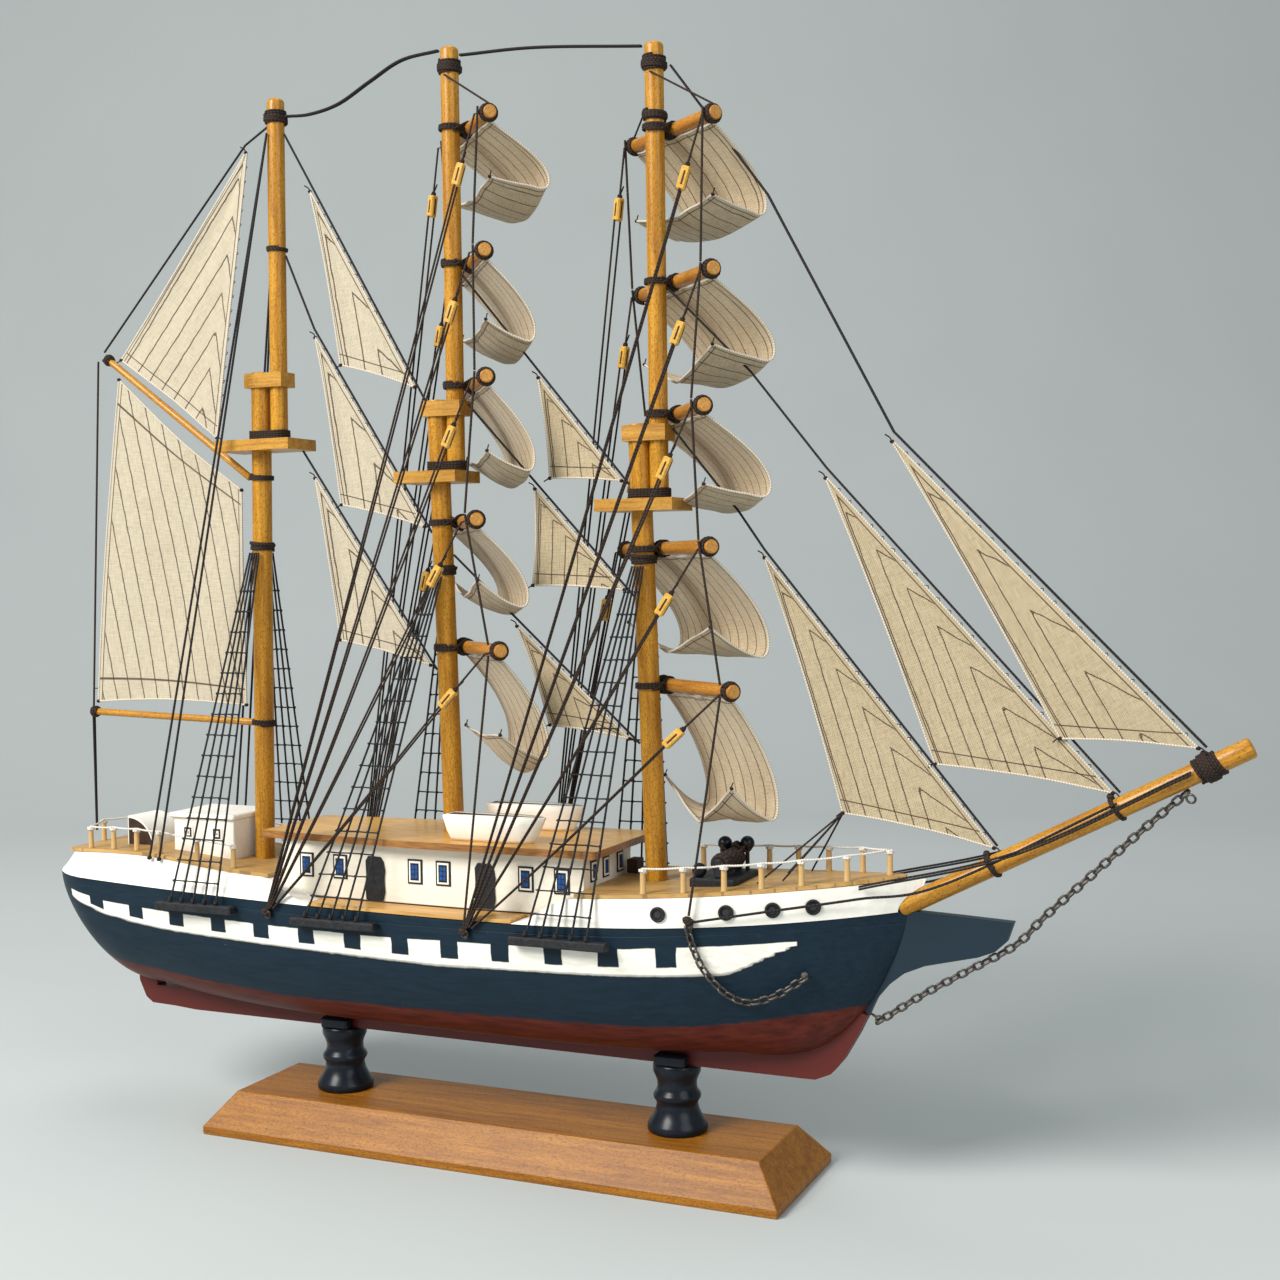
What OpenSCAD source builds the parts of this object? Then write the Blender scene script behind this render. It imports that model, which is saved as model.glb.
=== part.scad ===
// Three-masted model sailing ship on a plinth. The fore and main masts carry square sails on braced
// yards, the mizzen carries a gaff sail, and staysails and jibs hang on the stays.
// +X points to the bow, +Y to port, +Z up. The origin is the middle of the plinth's underside.

/* [Stand] */
// Length of the plinth
base_l = 250; // [230:1:270]
// Width of the plinth
base_w = 64; // [58:1:70]
// Height of the plinth
base_h = 16.5; // [14:0.5:18]
// Upright edge below the plinth's bevel
base_lip = 3.6; // [2:0.1:6]
// How far the bevel runs in
base_bevel = 10.5; // [6:0.5:13]
// Distance between the two turned posts
post_span = 150; // [130:1:160]
// Diameter of a post's foot
post_d = 23; // [20:0.5:25]

/* [Hull] */
// Widest beam of the hull
beam = 70; // [66:0.5:72]
// Height of the waist deck above the table
deck_z = 98; // [97:0.5:99]
// Height of the keel's underside above the table
keel_z = 42.5; // [42:0.5:43]
// Thickness of the keel board
keel_t = 6; // [5:0.5:7]

/* [Spars] */
// Diameter of the three lower masts
lower_d = 8.2; // [7.8:0.1:8.2]
// Diameter of the three topmasts
top_d = 7.2; // [6.8:0.1:7.3]
// Diameter of the yards
yard_d = 5.2; // [4.8:0.1:5.4]
// Diameter of the bowsprit
sprit_d = 7.2; // [6.8:0.1:7.4]
// Diameter of the boom and the gaff
boom_d = 3; // [2.6:0.1:3.2]

/* [Sails and rigging] */
// Thickness of the sailcloth
cloth_t = 0.8; // [0.7:0.05:0.9]
// Diameter of the rigging cord
cord_d = 1.1; // [1:0.05:1.2]
// Diameter of the shroud threads
shroud_d = 0.8; // [0.7:0.05:0.9]
// How far the yards slew each way, in degrees
yard_swing = 4; // [2:0.5:4]

/* [Hidden] */
$fn = 32;

// Colours
WOOD = "#a8682f"; MAST = "#d38b22"; PALE = "#d8b070"; NAVY = "#1f3142"; WHITE = "#ece8dc";
RED = "#5a1f18"; LINEN = "#cbbb98"; CORD = "#2c211c"; BLACK = "#16181c"; IRON = "#3d3a38";

gap = 0.15;               // slack round a spar in its hole
free = 0.45;              // slack between a mast and what swings on it
post_x = [-1 - post_span / 2, -1 + post_span / 2];

// Hull form
stern_x = -216; bow_x = 168; quarter_x = -186; mid_x = 20;
stern_half = 28; half = beam / 2;
hull_start = stern_x + 0.4; hull_end = bow_x - 1.2;
poop_end = -70; castle_start = 22; swoop = 24; wall_half = 21.5;
deck_t = 1.4; roof_z = 126; roof_t = 2.8;
platform_t = 4.6; cap_h = 6; doubling = 24;

// Height of the hull's upper edge, half breadth and lowest line along its length
function sheer(x) = deck_z + (x > 0 ? 9 * pow(x / bow_x, 2) : 4.5 * pow(x / stern_x, 2));
function breadth(x) = x > mid_x ? half * (1 - pow((x - mid_x) / (bow_x - mid_x), 2.6))
    : x > quarter_x ? half - (half - stern_half) * pow((mid_x - x) / (mid_x - quarter_x), 2)
    : stern_half * sqrt(1 - pow((quarter_x - x) / (quarter_x - stern_x), 2));
function belly_z(x) = x > 105 ? 50 + (sheer(bow_x) - 50) * pow((x - 105) / (bow_x - 105), 3)
    : x < -160 ? 54 + (sheer(x) - 54.6) * pow((-160 - x) / 56, 2.6)
    : 48 + 6 * pow(x / 160, 4) + (x > 60 ? 1.5 * (x - 60) / 45 : 0);
// Fullness of a section: 0.6 amidships is round, 1 at the ends is a V
function fullness(x) = 0.6 + 0.4 * pow(abs((x + 20) / 190), 2.5);
function along(i, n, a, b) = a + (b - a) * (0.5 - 0.5 * cos(180 * i / n));

// Top of the poop and forecastle blocks, which swoop down to the waist at their inner ends
function ease(t) = t <= 0 ? 0 : t >= 1 ? 1 : t * t * (3 - 2 * t);
function poop_top(x) = sheer(x) + 0.9 + 8.4 * ease((poop_end - x) / swoop)
    + 3 * ease((-100 - x) / 60) - 4.5 * pow(min(0, x + 150) / 66, 2);
function castle_top(x) = sheer(x) + 0.3 + 10 * ease((x - castle_start) / swoop) + 1.4 * x / bow_x;

// Rigging plan: lower masts and topmasts as [x at table height, rake per mm of height]
LOWER = [[-116, 0.0155], [-18.5, -0.026], [70, -0.030]];
TOP = [[-105.6, 0.0109], [-18, 0], [69.7, 0]];
FOOT_Z = [104, 116, 106];
PLATFORM_Z = [284, 268, 254.5];
HEAD_Z = [427, 437, 427];
SHROUD_Z = [242, 231, 234];
function at(m, z) = [m[0] + m[1] * z, 0, z];
function lean(m) = [0, atan(m[1]), 0];

// Square sails, top to bottom: height of the yard, brace angle, arm to starboard, arm to port,
// forward belly, depth of the clew and depth of the foot
FORE = [[395, 55, 30, 30, 23, 29, 38], [338, 47, 34, 34, 25, 27, 34],
    [288.5, 37, 38, 38, 25, 28, 33], [238, 48, 42, 37.5, 24, 29, 40], [186, 51, 50, 6, 19, 35, 47]];
MAIN = [[405, 45, 30, 30, 24, 24, 30], [352, 38, 33, 33, 19, 26, 35],
    [304, 37, 36, 36, 18, 28, 37], [250, 38, 39, 39, 20, 23, 33], [200, 46, 46, 7, 19, 32, 41]];
lash_t = 0.9;             // thickness of a cord lashing
function mast_of(k, i) = i < 3 ? TOP[k] : LOWER[k];
function mast_d(i) = i < 3 ? top_d : lower_d;
function off(i) = mast_d(i) / 2 + free + lash_t + yard_d / 2 + 0.1;
function fwd(b) = [cos(b), sin(b), 0];
function stbd(b) = [sin(b), -cos(b), 0];
function centre(k, r, i) = at(mast_of(k, i), r[i][0]) + off(i) * fwd(r[i][1]);
// A point on yard i: t along it to starboard, s ahead of it, h above it
function spot(k, r, i, t, s = 0, h = 0) =
    centre(k, r, i) + t * stbd(r[i][1]) + s * fwd(r[i][1]) + [0, 0, h];

// Fore-and-aft sails in the middle plane, corners as [x, z]
JIBS = [[[111, 235], [195.5, 131], [140.6, 140.8]], [[134.5, 263.5], [236, 152], [174.6, 159.8]],
    [[159.5, 275.5], [264, 168.2], [218.7, 170.2]]];
MAIN_STAYSAILS = [[[19, 305.5], [54, 264], [23.5, 266]],
    [[17, 262.5], [54.5, 222.5], [15.5, 224.5]], [[8, 209], [56, 165.5], [22, 170]]];
MIZZEN_STAYSAILS = [[[-85, 388], [-36.5, 304.5], [-71.4, 315.4]],
    [[-84, 328.3], [-33, 248.5], [-72.6, 258.4]], [[-85.5, 270.5], [-31.5, 192.8], [-74.5, 202.8]]];
SPANKER = [[-186.3, 316], [-122.5, 266], [-122.5, 175], [-202, 175.2]];
GAFF_TOPSAIL = [[-115.8, 407.5], [-134.6, 288.5], [-185, 324.5]];
BOOM = [[-206, 170.6], [-118.5, 167.8]];
GAFF = [[-193.2, 326], [-117.6, 270.9]];

// Stays in the middle plane, corners as [x, z]
JIB_STAYS = [[[75.4, 283], [101.6, 251], [111.5, 236.8], [196.7, 131.7]],
    [[73.95, 335.4], [107, 302], [135.5, 266], [238.5, 152.2]],
    [[76.2, 417.5], [114, 366], [160.5, 277.8], [266.5, 168.4]]];
MAIN_STAYS = [[[-14, 347.5], [57.3, 262.5]], [[-12.2, 296.5], [58.7, 220]],
    [[-19.8, 237], [60.3, 163.8]]];
MIZZEN_STAYS = [[[-97, 412], [-31.8, 299]], [[-97.4, 362], [-84, 331], [-29.7, 246]],
    [[-90.8, 281.2], [-28.4, 191]]];
stay_d = 0.9;

// Eyes on the hull's side, port and starboard alike: [x, height]
EYES = [[-88.5, 94.5], [3, 93.7], [92.5, 103.2]];
function eye(i, side) = [EYES[i][0], side * (breadth(EYES[i][0]) + 1.6), EYES[i][1]];

// The anchor chain hangs on the starboard bow between two eyes; each stop is a share of the way
// between them and how far the chain hangs below that line
CHAIN_A = [92.5, -31.4, 101.4]; CHAIN_B = [132, -20.4, 84.4];
CHAIN_STOPS = [[0, 0.8], [0.09, 6], [0.24, 12], [0.46, 16.5], [0.66, 16.5], [0.84, 10.5], [1, 0.8]];
chain_d = 2.6;
function unit(v) = v / norm(v);
chain_axis = unit(CHAIN_B - CHAIN_A);
chain_down = unit([0, 0, -1] + chain_axis[2] * chain_axis);
function chain_at(s) = CHAIN_A + s[0] * (CHAIN_B - CHAIN_A) + s[1] * chain_down;
BOBSTAY = [[154, 66], [170, 77], [184, 85.6], [202.5, 97], [213, 108], [228, 122.5], [246, 140],
    [259.5, 152.5]];

// A straight cord between two points
module thread(a, b, d = cord_d) {
    round_bar(a, b, d, $fn = 8);
}
module round_bar(a, b, d) {
    v = b - a;
    translate(a) rotate([0, acos(v[2] / norm(v)), atan2(v[1], v[0])]) cylinder(d = d, h = norm(v));
}
module route(points, d = cord_d) {
    for (i = [1:len(points) - 1]) thread(points[i - 1], points[i], d);
}
function up_to(p, y = 0) = [p[0], y, p[1]];
// A ring of cord wraps round an upright spar
module wrap(m, z, d, h, slack = 0.05, thick = 0.9) {
    translate(at(m, z)) rotate(lean(m)) difference() {
        cylinder(d = d + 2 * slack + 2 * thick, h = h, center = true);
        cylinder(d = d + 2 * slack, h = h + 1, center = true);
    }
}
module spar(m, z0, z1, d) {
    a = at(m, z0);
    translate(a) rotate(lean(m)) cylinder(d = d, h = z1 - z0);
}
module masts_cut() {
    for (k = [0:2])
        spar(LOWER[k], FOOT_Z[k] - 24, PLATFORM_Z[k] + doubling + cap_h + 5, lower_d + 2 * gap);
}
// A closed shape whose stations are mirrored port and starboard
module stations(points) {
    n = len(points); m = len(points[0]);
    polyhedron(points = [for (s = points) each s],
        faces = concat([[for (j = [0:m - 1]) j]], [[for (j = [m - 1:-1:0]) (n - 1) * m + j]],
            [for (i = [0:n - 2], j = [0:m - 1]) let (a = i * m + j, b = (i + 1) * m + (j + 1) % m)
                [a, a + m, b]],
            [for (i = [0:n - 2], j = [0:m - 1]) let (a = i * m + j, b = (i + 1) * m + (j + 1) % m)
                [a, b, b - m]]),
        convexity = 6);
}
// A level slice of the hull's outline between two heights given as functions of x by kind
function level(kind, x) = kind == "sheer" ? sheer(x) + 0.3
    : kind == "waist" ? sheer(x) + 0.3 + deck_t
    : kind == "poop" ? poop_top(x) + 0.15 : kind == "poop_top" ? poop_top(x) + deck_t + 0.15
    : kind == "castle" ? castle_top(x) + 0.15 : castle_top(x) + deck_t + 0.15;
module slab(x0, x1, low, high, in0, in1, n = 24) {
    stations([for (i = [0:n]) let (x = along(i, n, x0, x1), b = breadth(x))
        [[x, b - min(in0, b / 2), level(low, x)], [x, b - min(in1, b / 2), level(high, x)],
         [x, min(in1, b / 2) - b, level(high, x)], [x, min(in0, b / 2) - b, level(low, x)]]]);
}

module bevelled(l) {
    polygon([[-l / 2, 0], [l / 2, 0], [l / 2, base_lip], [l / 2 - base_bevel, base_h],
        [base_bevel - l / 2, base_h], [-l / 2, base_lip]]);
}
module base_plinth() {
    color(WOOD) difference() {
        intersection() {
            rotate([90, 0, 0]) linear_extrude(base_w, center = true) bevelled(base_l);
            rotate([90, 0, 90]) linear_extrude(base_l, center = true) bevelled(base_w);
        }
        for (x = post_x) translate([x, 0, -1]) {
            cylinder(d = 3.4, h = base_h + 2);
            cylinder(d = 7.4, h = 4.2);
        }
    }
}

module post_screws() {
    color(IRON) for (x = post_x) translate([x, 0, 0.8]) {
        cylinder(d = 6.8, h = 2.2);
        cylinder(d = 3, h = base_h + 9);
    }
}

module turned_posts() {
    r = post_d / 2; h = keel_z - base_h;
    color(BLACK) for (x = post_x) translate([x, 0, base_h]) difference() {
        rotate_extrude() polygon([[0, 0], [r, 0], [r, 2.6], [r * 0.95, 3.6], [r * 0.78, 6.4],
            [r * 0.7, 9], [r * 0.68, 11], [r * 0.76, 12.4], [r * 0.8, 13.6], [r * 0.76, 14.8],
            [r * 0.66, 16], [r * 0.66, 19], [r * 0.74, 21.5], [r * 0.8, 23], [r * 0.8, h + 4.5],
            [0, h + 4.5]]);
        translate([-post_d / 2 - 1, -keel_t / 2 - gap, h]) cube([post_d + 2, keel_t + 2 * gap, 6]);
        translate([0, 0, -1]) cylinder(d = 3, h = 10.8);
    }
}

module hull_form() {
    n = 34; m = 8;
    stations([for (i = [0:n]) let (x = along(i, n, hull_start, hull_end), b = breadth(x), z0 = belly_z(x),
            z1 = sheer(x), e = fullness(x))
        [for (j = [-m:m]) let (u = 90 * abs(j) / m)
            [x, sign(j) * b * pow(sin(u), e), z0 + (z1 - z0) * (1 - cos(u))]]]);
}
module hull() {
    color(NAVY) difference() {
        hull_form();
        bowsprit_bore();
        masts_cut();
    }
}

module keel_board() {
    color(RED) difference() {
        rotate([90, 0, 0]) linear_extrude(keel_t, center = true) difference() {
            polygon([[-181, 59.5], [-180.4, 53], [-177, 46], [-173.4, 43.6], [-162, keel_z + 0.8],
                [-150, keel_z], [130, keel_z], [136, keel_z + 2.6], [140.4, 50.4], [146, 60], [150, 68],
                [140, 72], [-150, 66], [-181, 62]]);
            translate([-171, 51.5]) square([13, 4.6]);
        }
        hull_form();
    }
}

module cutwater() {
    color(NAVY) difference() {
        rotate([90, 0, 0]) linear_extrude(4, center = true) polygon([[150.2, 68], [153, 74],
            [157.5, 79.5], [163.6, 84.4], [171, 87.6], [180, 89.8], [190, 92.2], [196, 94.6],
            [200.2, 98.5], [202.6, 105.4], [184, 106.3], [166.3, 107], [158, 100], [146, 72]]);
        hull_form();
        bowsprit_bore();
    }
}

module poop_block() {
    color(WHITE) difference() {
        stations([for (i = [0:26]) let (x = along(i, 26, hull_start, poop_end), b = breadth(x),
                lean = 3.2 * ease((-60 - x) / 40),
                xt = x + (x < quarter_x ? 10 * pow((quarter_x - x) / 30, 2) : 0))
            [[x, b, sheer(x) + 0.3], [xt, max(b - lean, b / 3), poop_top(x)],
             [xt, -max(b - lean, b / 3), poop_top(x)], [x, -b, sheer(x) + 0.3]]]);
        translate([-91, -wall_half - 0.5, 60]) cube([60, 2 * wall_half + 1, 80]);
        masts_cut();
    }
}

module forecastle_block() {
    color(WHITE) difference() {
        stations([for (i = [0:24]) let (x = along(i, 24, castle_start, hull_end), b = breadth(x),
                xt = x + 4.5 * pow(max(0, x - 120) / 47, 2))
            [[x, b, sheer(x) + 0.3], [xt, max(b - 0.6, b / 2), castle_top(x)],
             [xt, -max(b - 0.6, b / 2), castle_top(x)], [x, -b, sheer(x) + 0.3]]]);
        translate([0, -wall_half - 0.5, 60]) cube([47.2, 2 * wall_half + 1, 80]);
        bowsprit_bore();
        masts_cut();
    }
}

module waist_slab() { slab(-90.6, 46.8, "sheer", "waist", 0.7, 0.7); }
module waist_deck() {
    color(PALE) difference() {
        waist_slab();
        for (s = [-1, 1], x = [-96, castle_start - 0.4])
            translate([x, s > 0 ? wall_half + 0.3 : -50, 60])
                cube([x < 0 ? 26.4 : 30, 50 - wall_half - 0.3, 80]);
        masts_cut();
    }
}

module poop_deck() {
    color(PALE) difference() {
        slab(-203, -92, "poop", "poop_top", 4, 4);
        masts_cut();
    }
}

module forecastle_deck() {
    color(PALE) difference() {
        slab(47.6, 164, "castle", "castle_top", 1.2, 1.2);
        bowsprit_bore();
        masts_cut();
    }
}

// Black sleeves set in the forecastle's sides
PORTHOLES = [80.5, 105, 121, 134.5];
module portholes() {
    color(BLACK) for (s = [-1, 1], x = PORTHOLES) translate([x, s * (breadth(x) + 0.2), sheer(x) + 5.4])
        rotate([-90 * s, 0, atan2(breadth(x + 3) - breadth(x - 3), 6) * s]) difference() {
            cylinder(d = 5.6, h = 0.9);
            translate([0, 0, 0.3]) cylinder(d = 3.8, h = 2);
        }
}

// Boards that hold the feet of the shrouds, as [foot aft, foot forward] for each mast
FEET = [[-136, -113], [-68, -44], [30, 55]];
function foot_z(k) = sheer(FEET[k][0]) - 3.2;
module channels() {
    color(BLACK) for (k = [0:2], s = [-1, 1]) {
        x0 = FEET[k][0] - 7; x1 = FEET[k][1] + 8;
        y = max(breadth(x0), breadth(x1), breadth((x0 + x1) / 2)) + 0.4;
        translate([x0, s > 0 ? y : -y - 4.4, foot_z(k) - 3.6]) cube([x1 - x0, 4.4, 3.4]);
    }
}

module rigging_eyes() {
    color(IRON) {
        for (i = [0:2], s = [-1, 1]) translate(eye(i, s)) rotate([90, 0, 0]) rotate_extrude()
            translate([1.3, 0]) circle(d = 1);
        translate(CHAIN_A + [0, 0.6, 0.4]) rotate([-90, 0, 0]) cylinder(d = 1.2, h = 1.1);
        translate(CHAIN_B + [0, 0.6, 0.4]) rotate([-90, 0, 0]) cylinder(d = 1.2, h = 2.7);
        translate([up_to(BOBSTAY[0])[0] - 2.6, 0, 67.6]) rotate([0, 70, 0]) cylinder(d = 1.2, h = 3);
    }
}

module deckhouse() {
    x0 = -90; x1 = 46; z0 = deck_z + 1.8; wall = 2.4;
    color(WHITE) difference() {
        translate([x0, -wall_half, z0]) cube([x1 - x0, 2 * wall_half, roof_z - roof_t - z0]);
        translate([x0 + wall, wall - wall_half, z0 - 1])
            cube([x1 - x0 - 2 * wall, 2 * (wall_half - wall), 40]);
        waist_slab();
    }
}

module deckhouse_roof() {
    color(WOOD) difference() {
        translate([0, 0, roof_z - roof_t]) linear_extrude(roof_t)
            polygon([[-99, -23], [-99, 23], [-30, 28], [54, 28], [54, -28], [-30, -28]]);
        masts_cut();
    }
}

DOORS = [-45.5, 4]; WINDOWS = [-78, -62, -27.2, -14.5, 21.7, 37];
module pane(w, h, z) { translate([-w / 2, -0.8, z]) cube([w, 0.8, h]); }
module doors_and_windows() {
    color("#2b5f9e") for (s = [0, 180]) rotate([0, 0, s]) {
        for (x = WINDOWS) translate([s ? -x : x, -wall_half - 0.05, 0]) pane(5.6, 9, 108.5);
        for (x = DOORS) translate([s ? -x : x, -wall_half - 0.05, 0]) pane(8.6, 17.6, deck_z + 2.6);
    }
    color("#2b5f9e") for (y = [-13, -2, 11]) translate([46.05, y, 0]) rotate([0, 0, 90])
        pane(4.6, 7.6, 112.4);
}

module lifeboats() {
    l = 42; w = 13; h = 10;
    color(WHITE) for (side = [-1, 1]) translate([7 - l / 2, side * 17, roof_z + 0.1]) difference() {
        linear_extrude(h) polygon([[0, -0.32 * w], [0.18 * l, -0.45 * w], [0.5 * l, -w / 2],
            [0.76 * l, -0.44 * w], [0.92 * l, -0.26 * w], [l, -0.05 * w], [l, 0.05 * w],
            [0.92 * l, 0.26 * w], [0.76 * l, 0.44 * w], [0.5 * l, w / 2], [0.18 * l, 0.45 * w],
            [0, 0.32 * w]]);
        rotate([90, 0, 0]) linear_extrude(2 * w, center = true)
            polygon([[-1, -1], [2.2, -1], [-0.2, h + 1], [-1, h + 1]]);
        for (m = [0, 1]) mirror([0, m, 0]) translate([-1, w / 2 - 1.8, -1]) rotate([-22, 0, 0])
            cube([l + 2, w, h]);
        translate([l * 0.14, -w * 0.3, h * 0.7]) cube([l * 0.7, w * 0.6, h]);
    }
}

module stern_cabins() {
    z0 = poop_top(-120) + deck_t - 0.2; top = 127.6; hood = 113;
    color(WHITE) {
        difference() {
            union() {
                translate([-151.5, -13, z0]) cube([31, 26, top - z0]);
                translate([-179.3, 9.5, hood - 6]) rotate([90, 0, 0]) linear_extrude(19) intersection() {
                    translate([0, 6]) circle(r = 13.4);
                    square([14, 20]);
                }
            }
            slab(-203, -92, "sheer", "poop_top", 4, 4);
        }
        translate([-153, -14.5, top + 0.1]) cube([33.6, 29, 2]);
    }
}

module windlass() {
    z0 = castle_top(86) + deck_t; top = z0 + 3.8;
    color(BLACK) {
        difference() {
            translate([86, -15, z0]) cube([18, 26, top - z0]);
            slab(47.6, 164, "castle", "castle_top", 1.2, 1.2);
        }
        for (y = [-13, 8]) translate([95, y, top]) cube([3, 2, 7]);
        translate([96.5, -11, top + 4.6]) rotate([-90, 0, 0]) cylinder(d = 7.5, h = 19);
        for (p = [[89, -12, 4.6], [100, 9.5, 12], [91, 9.5, 11.5]]) translate([p[0], p[1], top]) {
            cylinder(d = 1.6, h = p[2] - 2.3);
            translate([0, 0, p[2] - 2.3]) sphere(d = 5.6);
        }
    }
    color(WOOD) translate([49, 11, castle_top(50) + deck_t + 0.6]) cube([4.5, 7, 5.4]);
}

// Rail posts along the forecastle and the poop, then the thread that joins their tops
CASTLE_POSTS = [74, 89, 103.5, 116.5, 130, 145];
POOP_POSTS = [-111, -130, -150, -163, -176, -189];
post_h = 9;
function castle_post(x, s) = [x, s * (breadth(x) - 2.6), castle_top(x) + deck_t + 0.2];
function poop_post(x, s) = [x, s * (breadth(x) - 6.2), poop_top(x) + deck_t + 0.2];
castle_bow = [158, 0, castle_top(158) + deck_t + 0.2];
poop_stern = [-201, 0, poop_top(-201) + deck_t + 0.2];
CASTLE_RUN = concat([for (x = CASTLE_POSTS) castle_post(x, -1)], [castle_bow],
    [for (i = [5:-1:0]) castle_post(CASTLE_POSTS[i], 1)]);
POOP_RUN = concat([for (x = POOP_POSTS) poop_post(x, -1)], [poop_stern],
    [for (i = [5:-1:0]) poop_post(POOP_POSTS[i], 1)]);
module rail_posts() {
    color(PALE) for (p = concat(CASTLE_RUN, POOP_RUN)) translate(p) cylinder(d = 1.8, h = post_h);
}
module rail_line() {
    lift = [0, 0, post_h + 0.45];
    color(WHITE) for (run = [CASTLE_RUN, POOP_RUN]) route([for (p = run) p + lift], 0.8);
}

// Lower masts step in the hull; topmasts stand on the platforms
module lower_mast(k) {
    color(MAST) spar(LOWER[k], FOOT_Z[k] - 22, PLATFORM_Z[k] + doubling + cap_h + 0.6, lower_d);
}
module topmast(k) {
    z0 = PLATFORM_Z[k] + platform_t / 2 + 0.1;
    color(MAST) {
        h = HEAD_Z[k] - 2 - z0;
        translate(at(TOP[k], z0)) rotate(lean(TOP[k])) {
            cylinder(d = top_d, h = h);
            translate([0, 0, h]) intersection() {
                translate([0, 0, -3]) sphere(d = top_d + 2.4);
                cylinder(d = top_d, h = 4);
            }
        }
    }
}
module mizzen_mast() lower_mast(0);
module main_mast() lower_mast(1);
module fore_mast() lower_mast(2);
module mizzen_topmast() topmast(0);
module main_topmast() topmast(1);
module fore_topmast() topmast(2);

SPRIT_A = [160, 0, 106.6]; SPRIT_B = [281, 0, 169];
module bowsprit_bore() { round_bar(SPRIT_A, SPRIT_B, sprit_d + 2 * gap); }
module bowsprit() {
    color(MAST) round_bar(SPRIT_A + [2, 0, 1], SPRIT_B, sprit_d);
}

// Platforms at the foot of the topmasts and caps at the lower mastheads
PLATFORM_X = [[-128.4, -91.3], [-41, -13], [47, 79]];
module masts_pair_cut(k) {
    z = PLATFORM_Z[k];
    spar(LOWER[k], z - 10, z + doubling + cap_h + 5, lower_d + 2 * gap);
    spar(TOP[k], z + platform_t / 2, z + doubling + cap_h + 5, top_d + 2 * gap);
}
module mast_platforms() {
    color(PALE) for (k = [0:2]) difference() {
        translate([PLATFORM_X[k][0], -10, PLATFORM_Z[k] - platform_t / 2])
            cube([PLATFORM_X[k][1] - PLATFORM_X[k][0], 20, platform_t]);
        masts_pair_cut(k);
    }
}
module mast_caps() {
    color(PALE) for (k = [0:2]) {
        z = PLATFORM_Z[k] + doubling; xa = at(LOWER[k], z)[0]; xb = at(TOP[k], z)[0];
        difference() {
            translate([xa - lower_d / 2 - 1, -4.9, z])
                cube([xb - xa + (lower_d + top_d) / 2 + 2, 9.8, cap_h]);
            masts_pair_cut(k);
        }
    }
}

// Cord lashings round the masts
module mast_lashings() {
    color(CORD) for (k = [0:2]) {
        z = PLATFORM_Z[k] + platform_t / 2 + 0.3; a = at(LOWER[k], z + 2); b = at(TOP[k], z + 2);
        translate([0, 0, z]) linear_extrude(3.6) difference() {
            union() {
                translate([a[0], 0]) circle(d = lower_d + 2.2);
                translate([b[0], 0]) circle(d = top_d + 2.2);
                translate([a[0], -top_d / 2 - 1]) square([b[0] - a[0], top_d + 2]);
            }
            translate([a[0], 0]) circle(d = lower_d + 0.5);
            translate([b[0], 0]) circle(d = top_d + 0.5);
            translate([a[0], -2]) square([b[0] - a[0], 4]);
        }
        wrap(TOP[k], HEAD_Z[k] - 8, top_d, 6);
        wrap(LOWER[k], SHROUD_Z[k], lower_d, 3.3);
    }
    color(CORD) wrap(TOP[0], 365, top_d, 2.4);
}

// Yards with their brace blocks, lashings and lines; one set swings on each mast
module on_yard(k, r, i) translate(centre(k, r, i)) rotate([90, 0, r[i][1]]) children();
block_l = 9; block_drop = 19;
function arm_end(k, r, i, side, s = 0, h = 0) =
    spot(k, r, i, side > 0 ? r[i][2] - 2.5 : 2.5 - r[i][3], s, h);
function brace_start(k, r, i, side) = arm_end(k, r, i, side, k == 2 ? -4.6 : -5.6, -1);
function brace_dir(k, r, i, side, e) = unit(eye(e, -side) - brace_start(k, r, i, side));
function has_brace(r, i, side) = side > 0 || r[i][3] > 20;
module yards(k, r, e) {
    color(MAST) for (i = [0:4]) on_yard(k, r, i)
        translate([0, 0, -r[i][3]]) cylinder(d = yard_d, h = r[i][2] + r[i][3]);
    color(PALE) for (i = [0:4], side = [-1, 1]) if (has_brace(r, i, side)) {
        d = brace_dir(k, r, i, side, e); p = brace_start(k, r, i, side);
        round_bar(p + block_drop * d, p + (block_drop + block_l) * d, 3.4);
    }
}
module yard_lines(k, r, e) {
    color(CORD) {
        for (i = [0:4]) {
            m = mast_of(k, i);
            wrap(m, r[i][0], mast_d(i), 3.4, free, lash_t);
            on_yard(k, r, i) {
                translate([0, 0, -2.5]) difference() {
                    cylinder(d = yard_d + 0.1 + 2 * lash_t, h = 5);
                    translate([0, 0, -1]) cylinder(d = yard_d + 0.1, h = 7);
                }
                for (t = [r[i][2] - 4.5, 0.5 - r[i][3]]) translate([0, 0, t]) difference() {
                    cylinder(d = yard_d + 0.1 + 2 * lash_t, h = 4);
                    translate([0, 0, -1]) cylinder(d = yard_d + 0.1, h = 7);
                }
                for (t = [0.14:0.24:0.95]) translate([0.6, -5.5, t * (r[i][2] + r[i][3]) - r[i][3]])
                    rotate([-90, 0, 0]) cylinder(d = 0.7, h = 2.7, $fn = 8);
            }
            for (side = [-1, 1]) if (has_brace(r, i, side)) {
                d = brace_dir(k, r, i, side, e); p = brace_start(k, r, i, side);
                thread(p, p + (block_drop - 0.1) * d, 0.8);
            }
        }
        for (side = [-1, 1]) for (i = [0:(side > 0 ? 3 : 2)])
            thread(arm_end(k, r, i, side, -4.3, 2), arm_end(k, r, i + 1, side, -4.3, 2.4), 0.9);
    }
}

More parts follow.
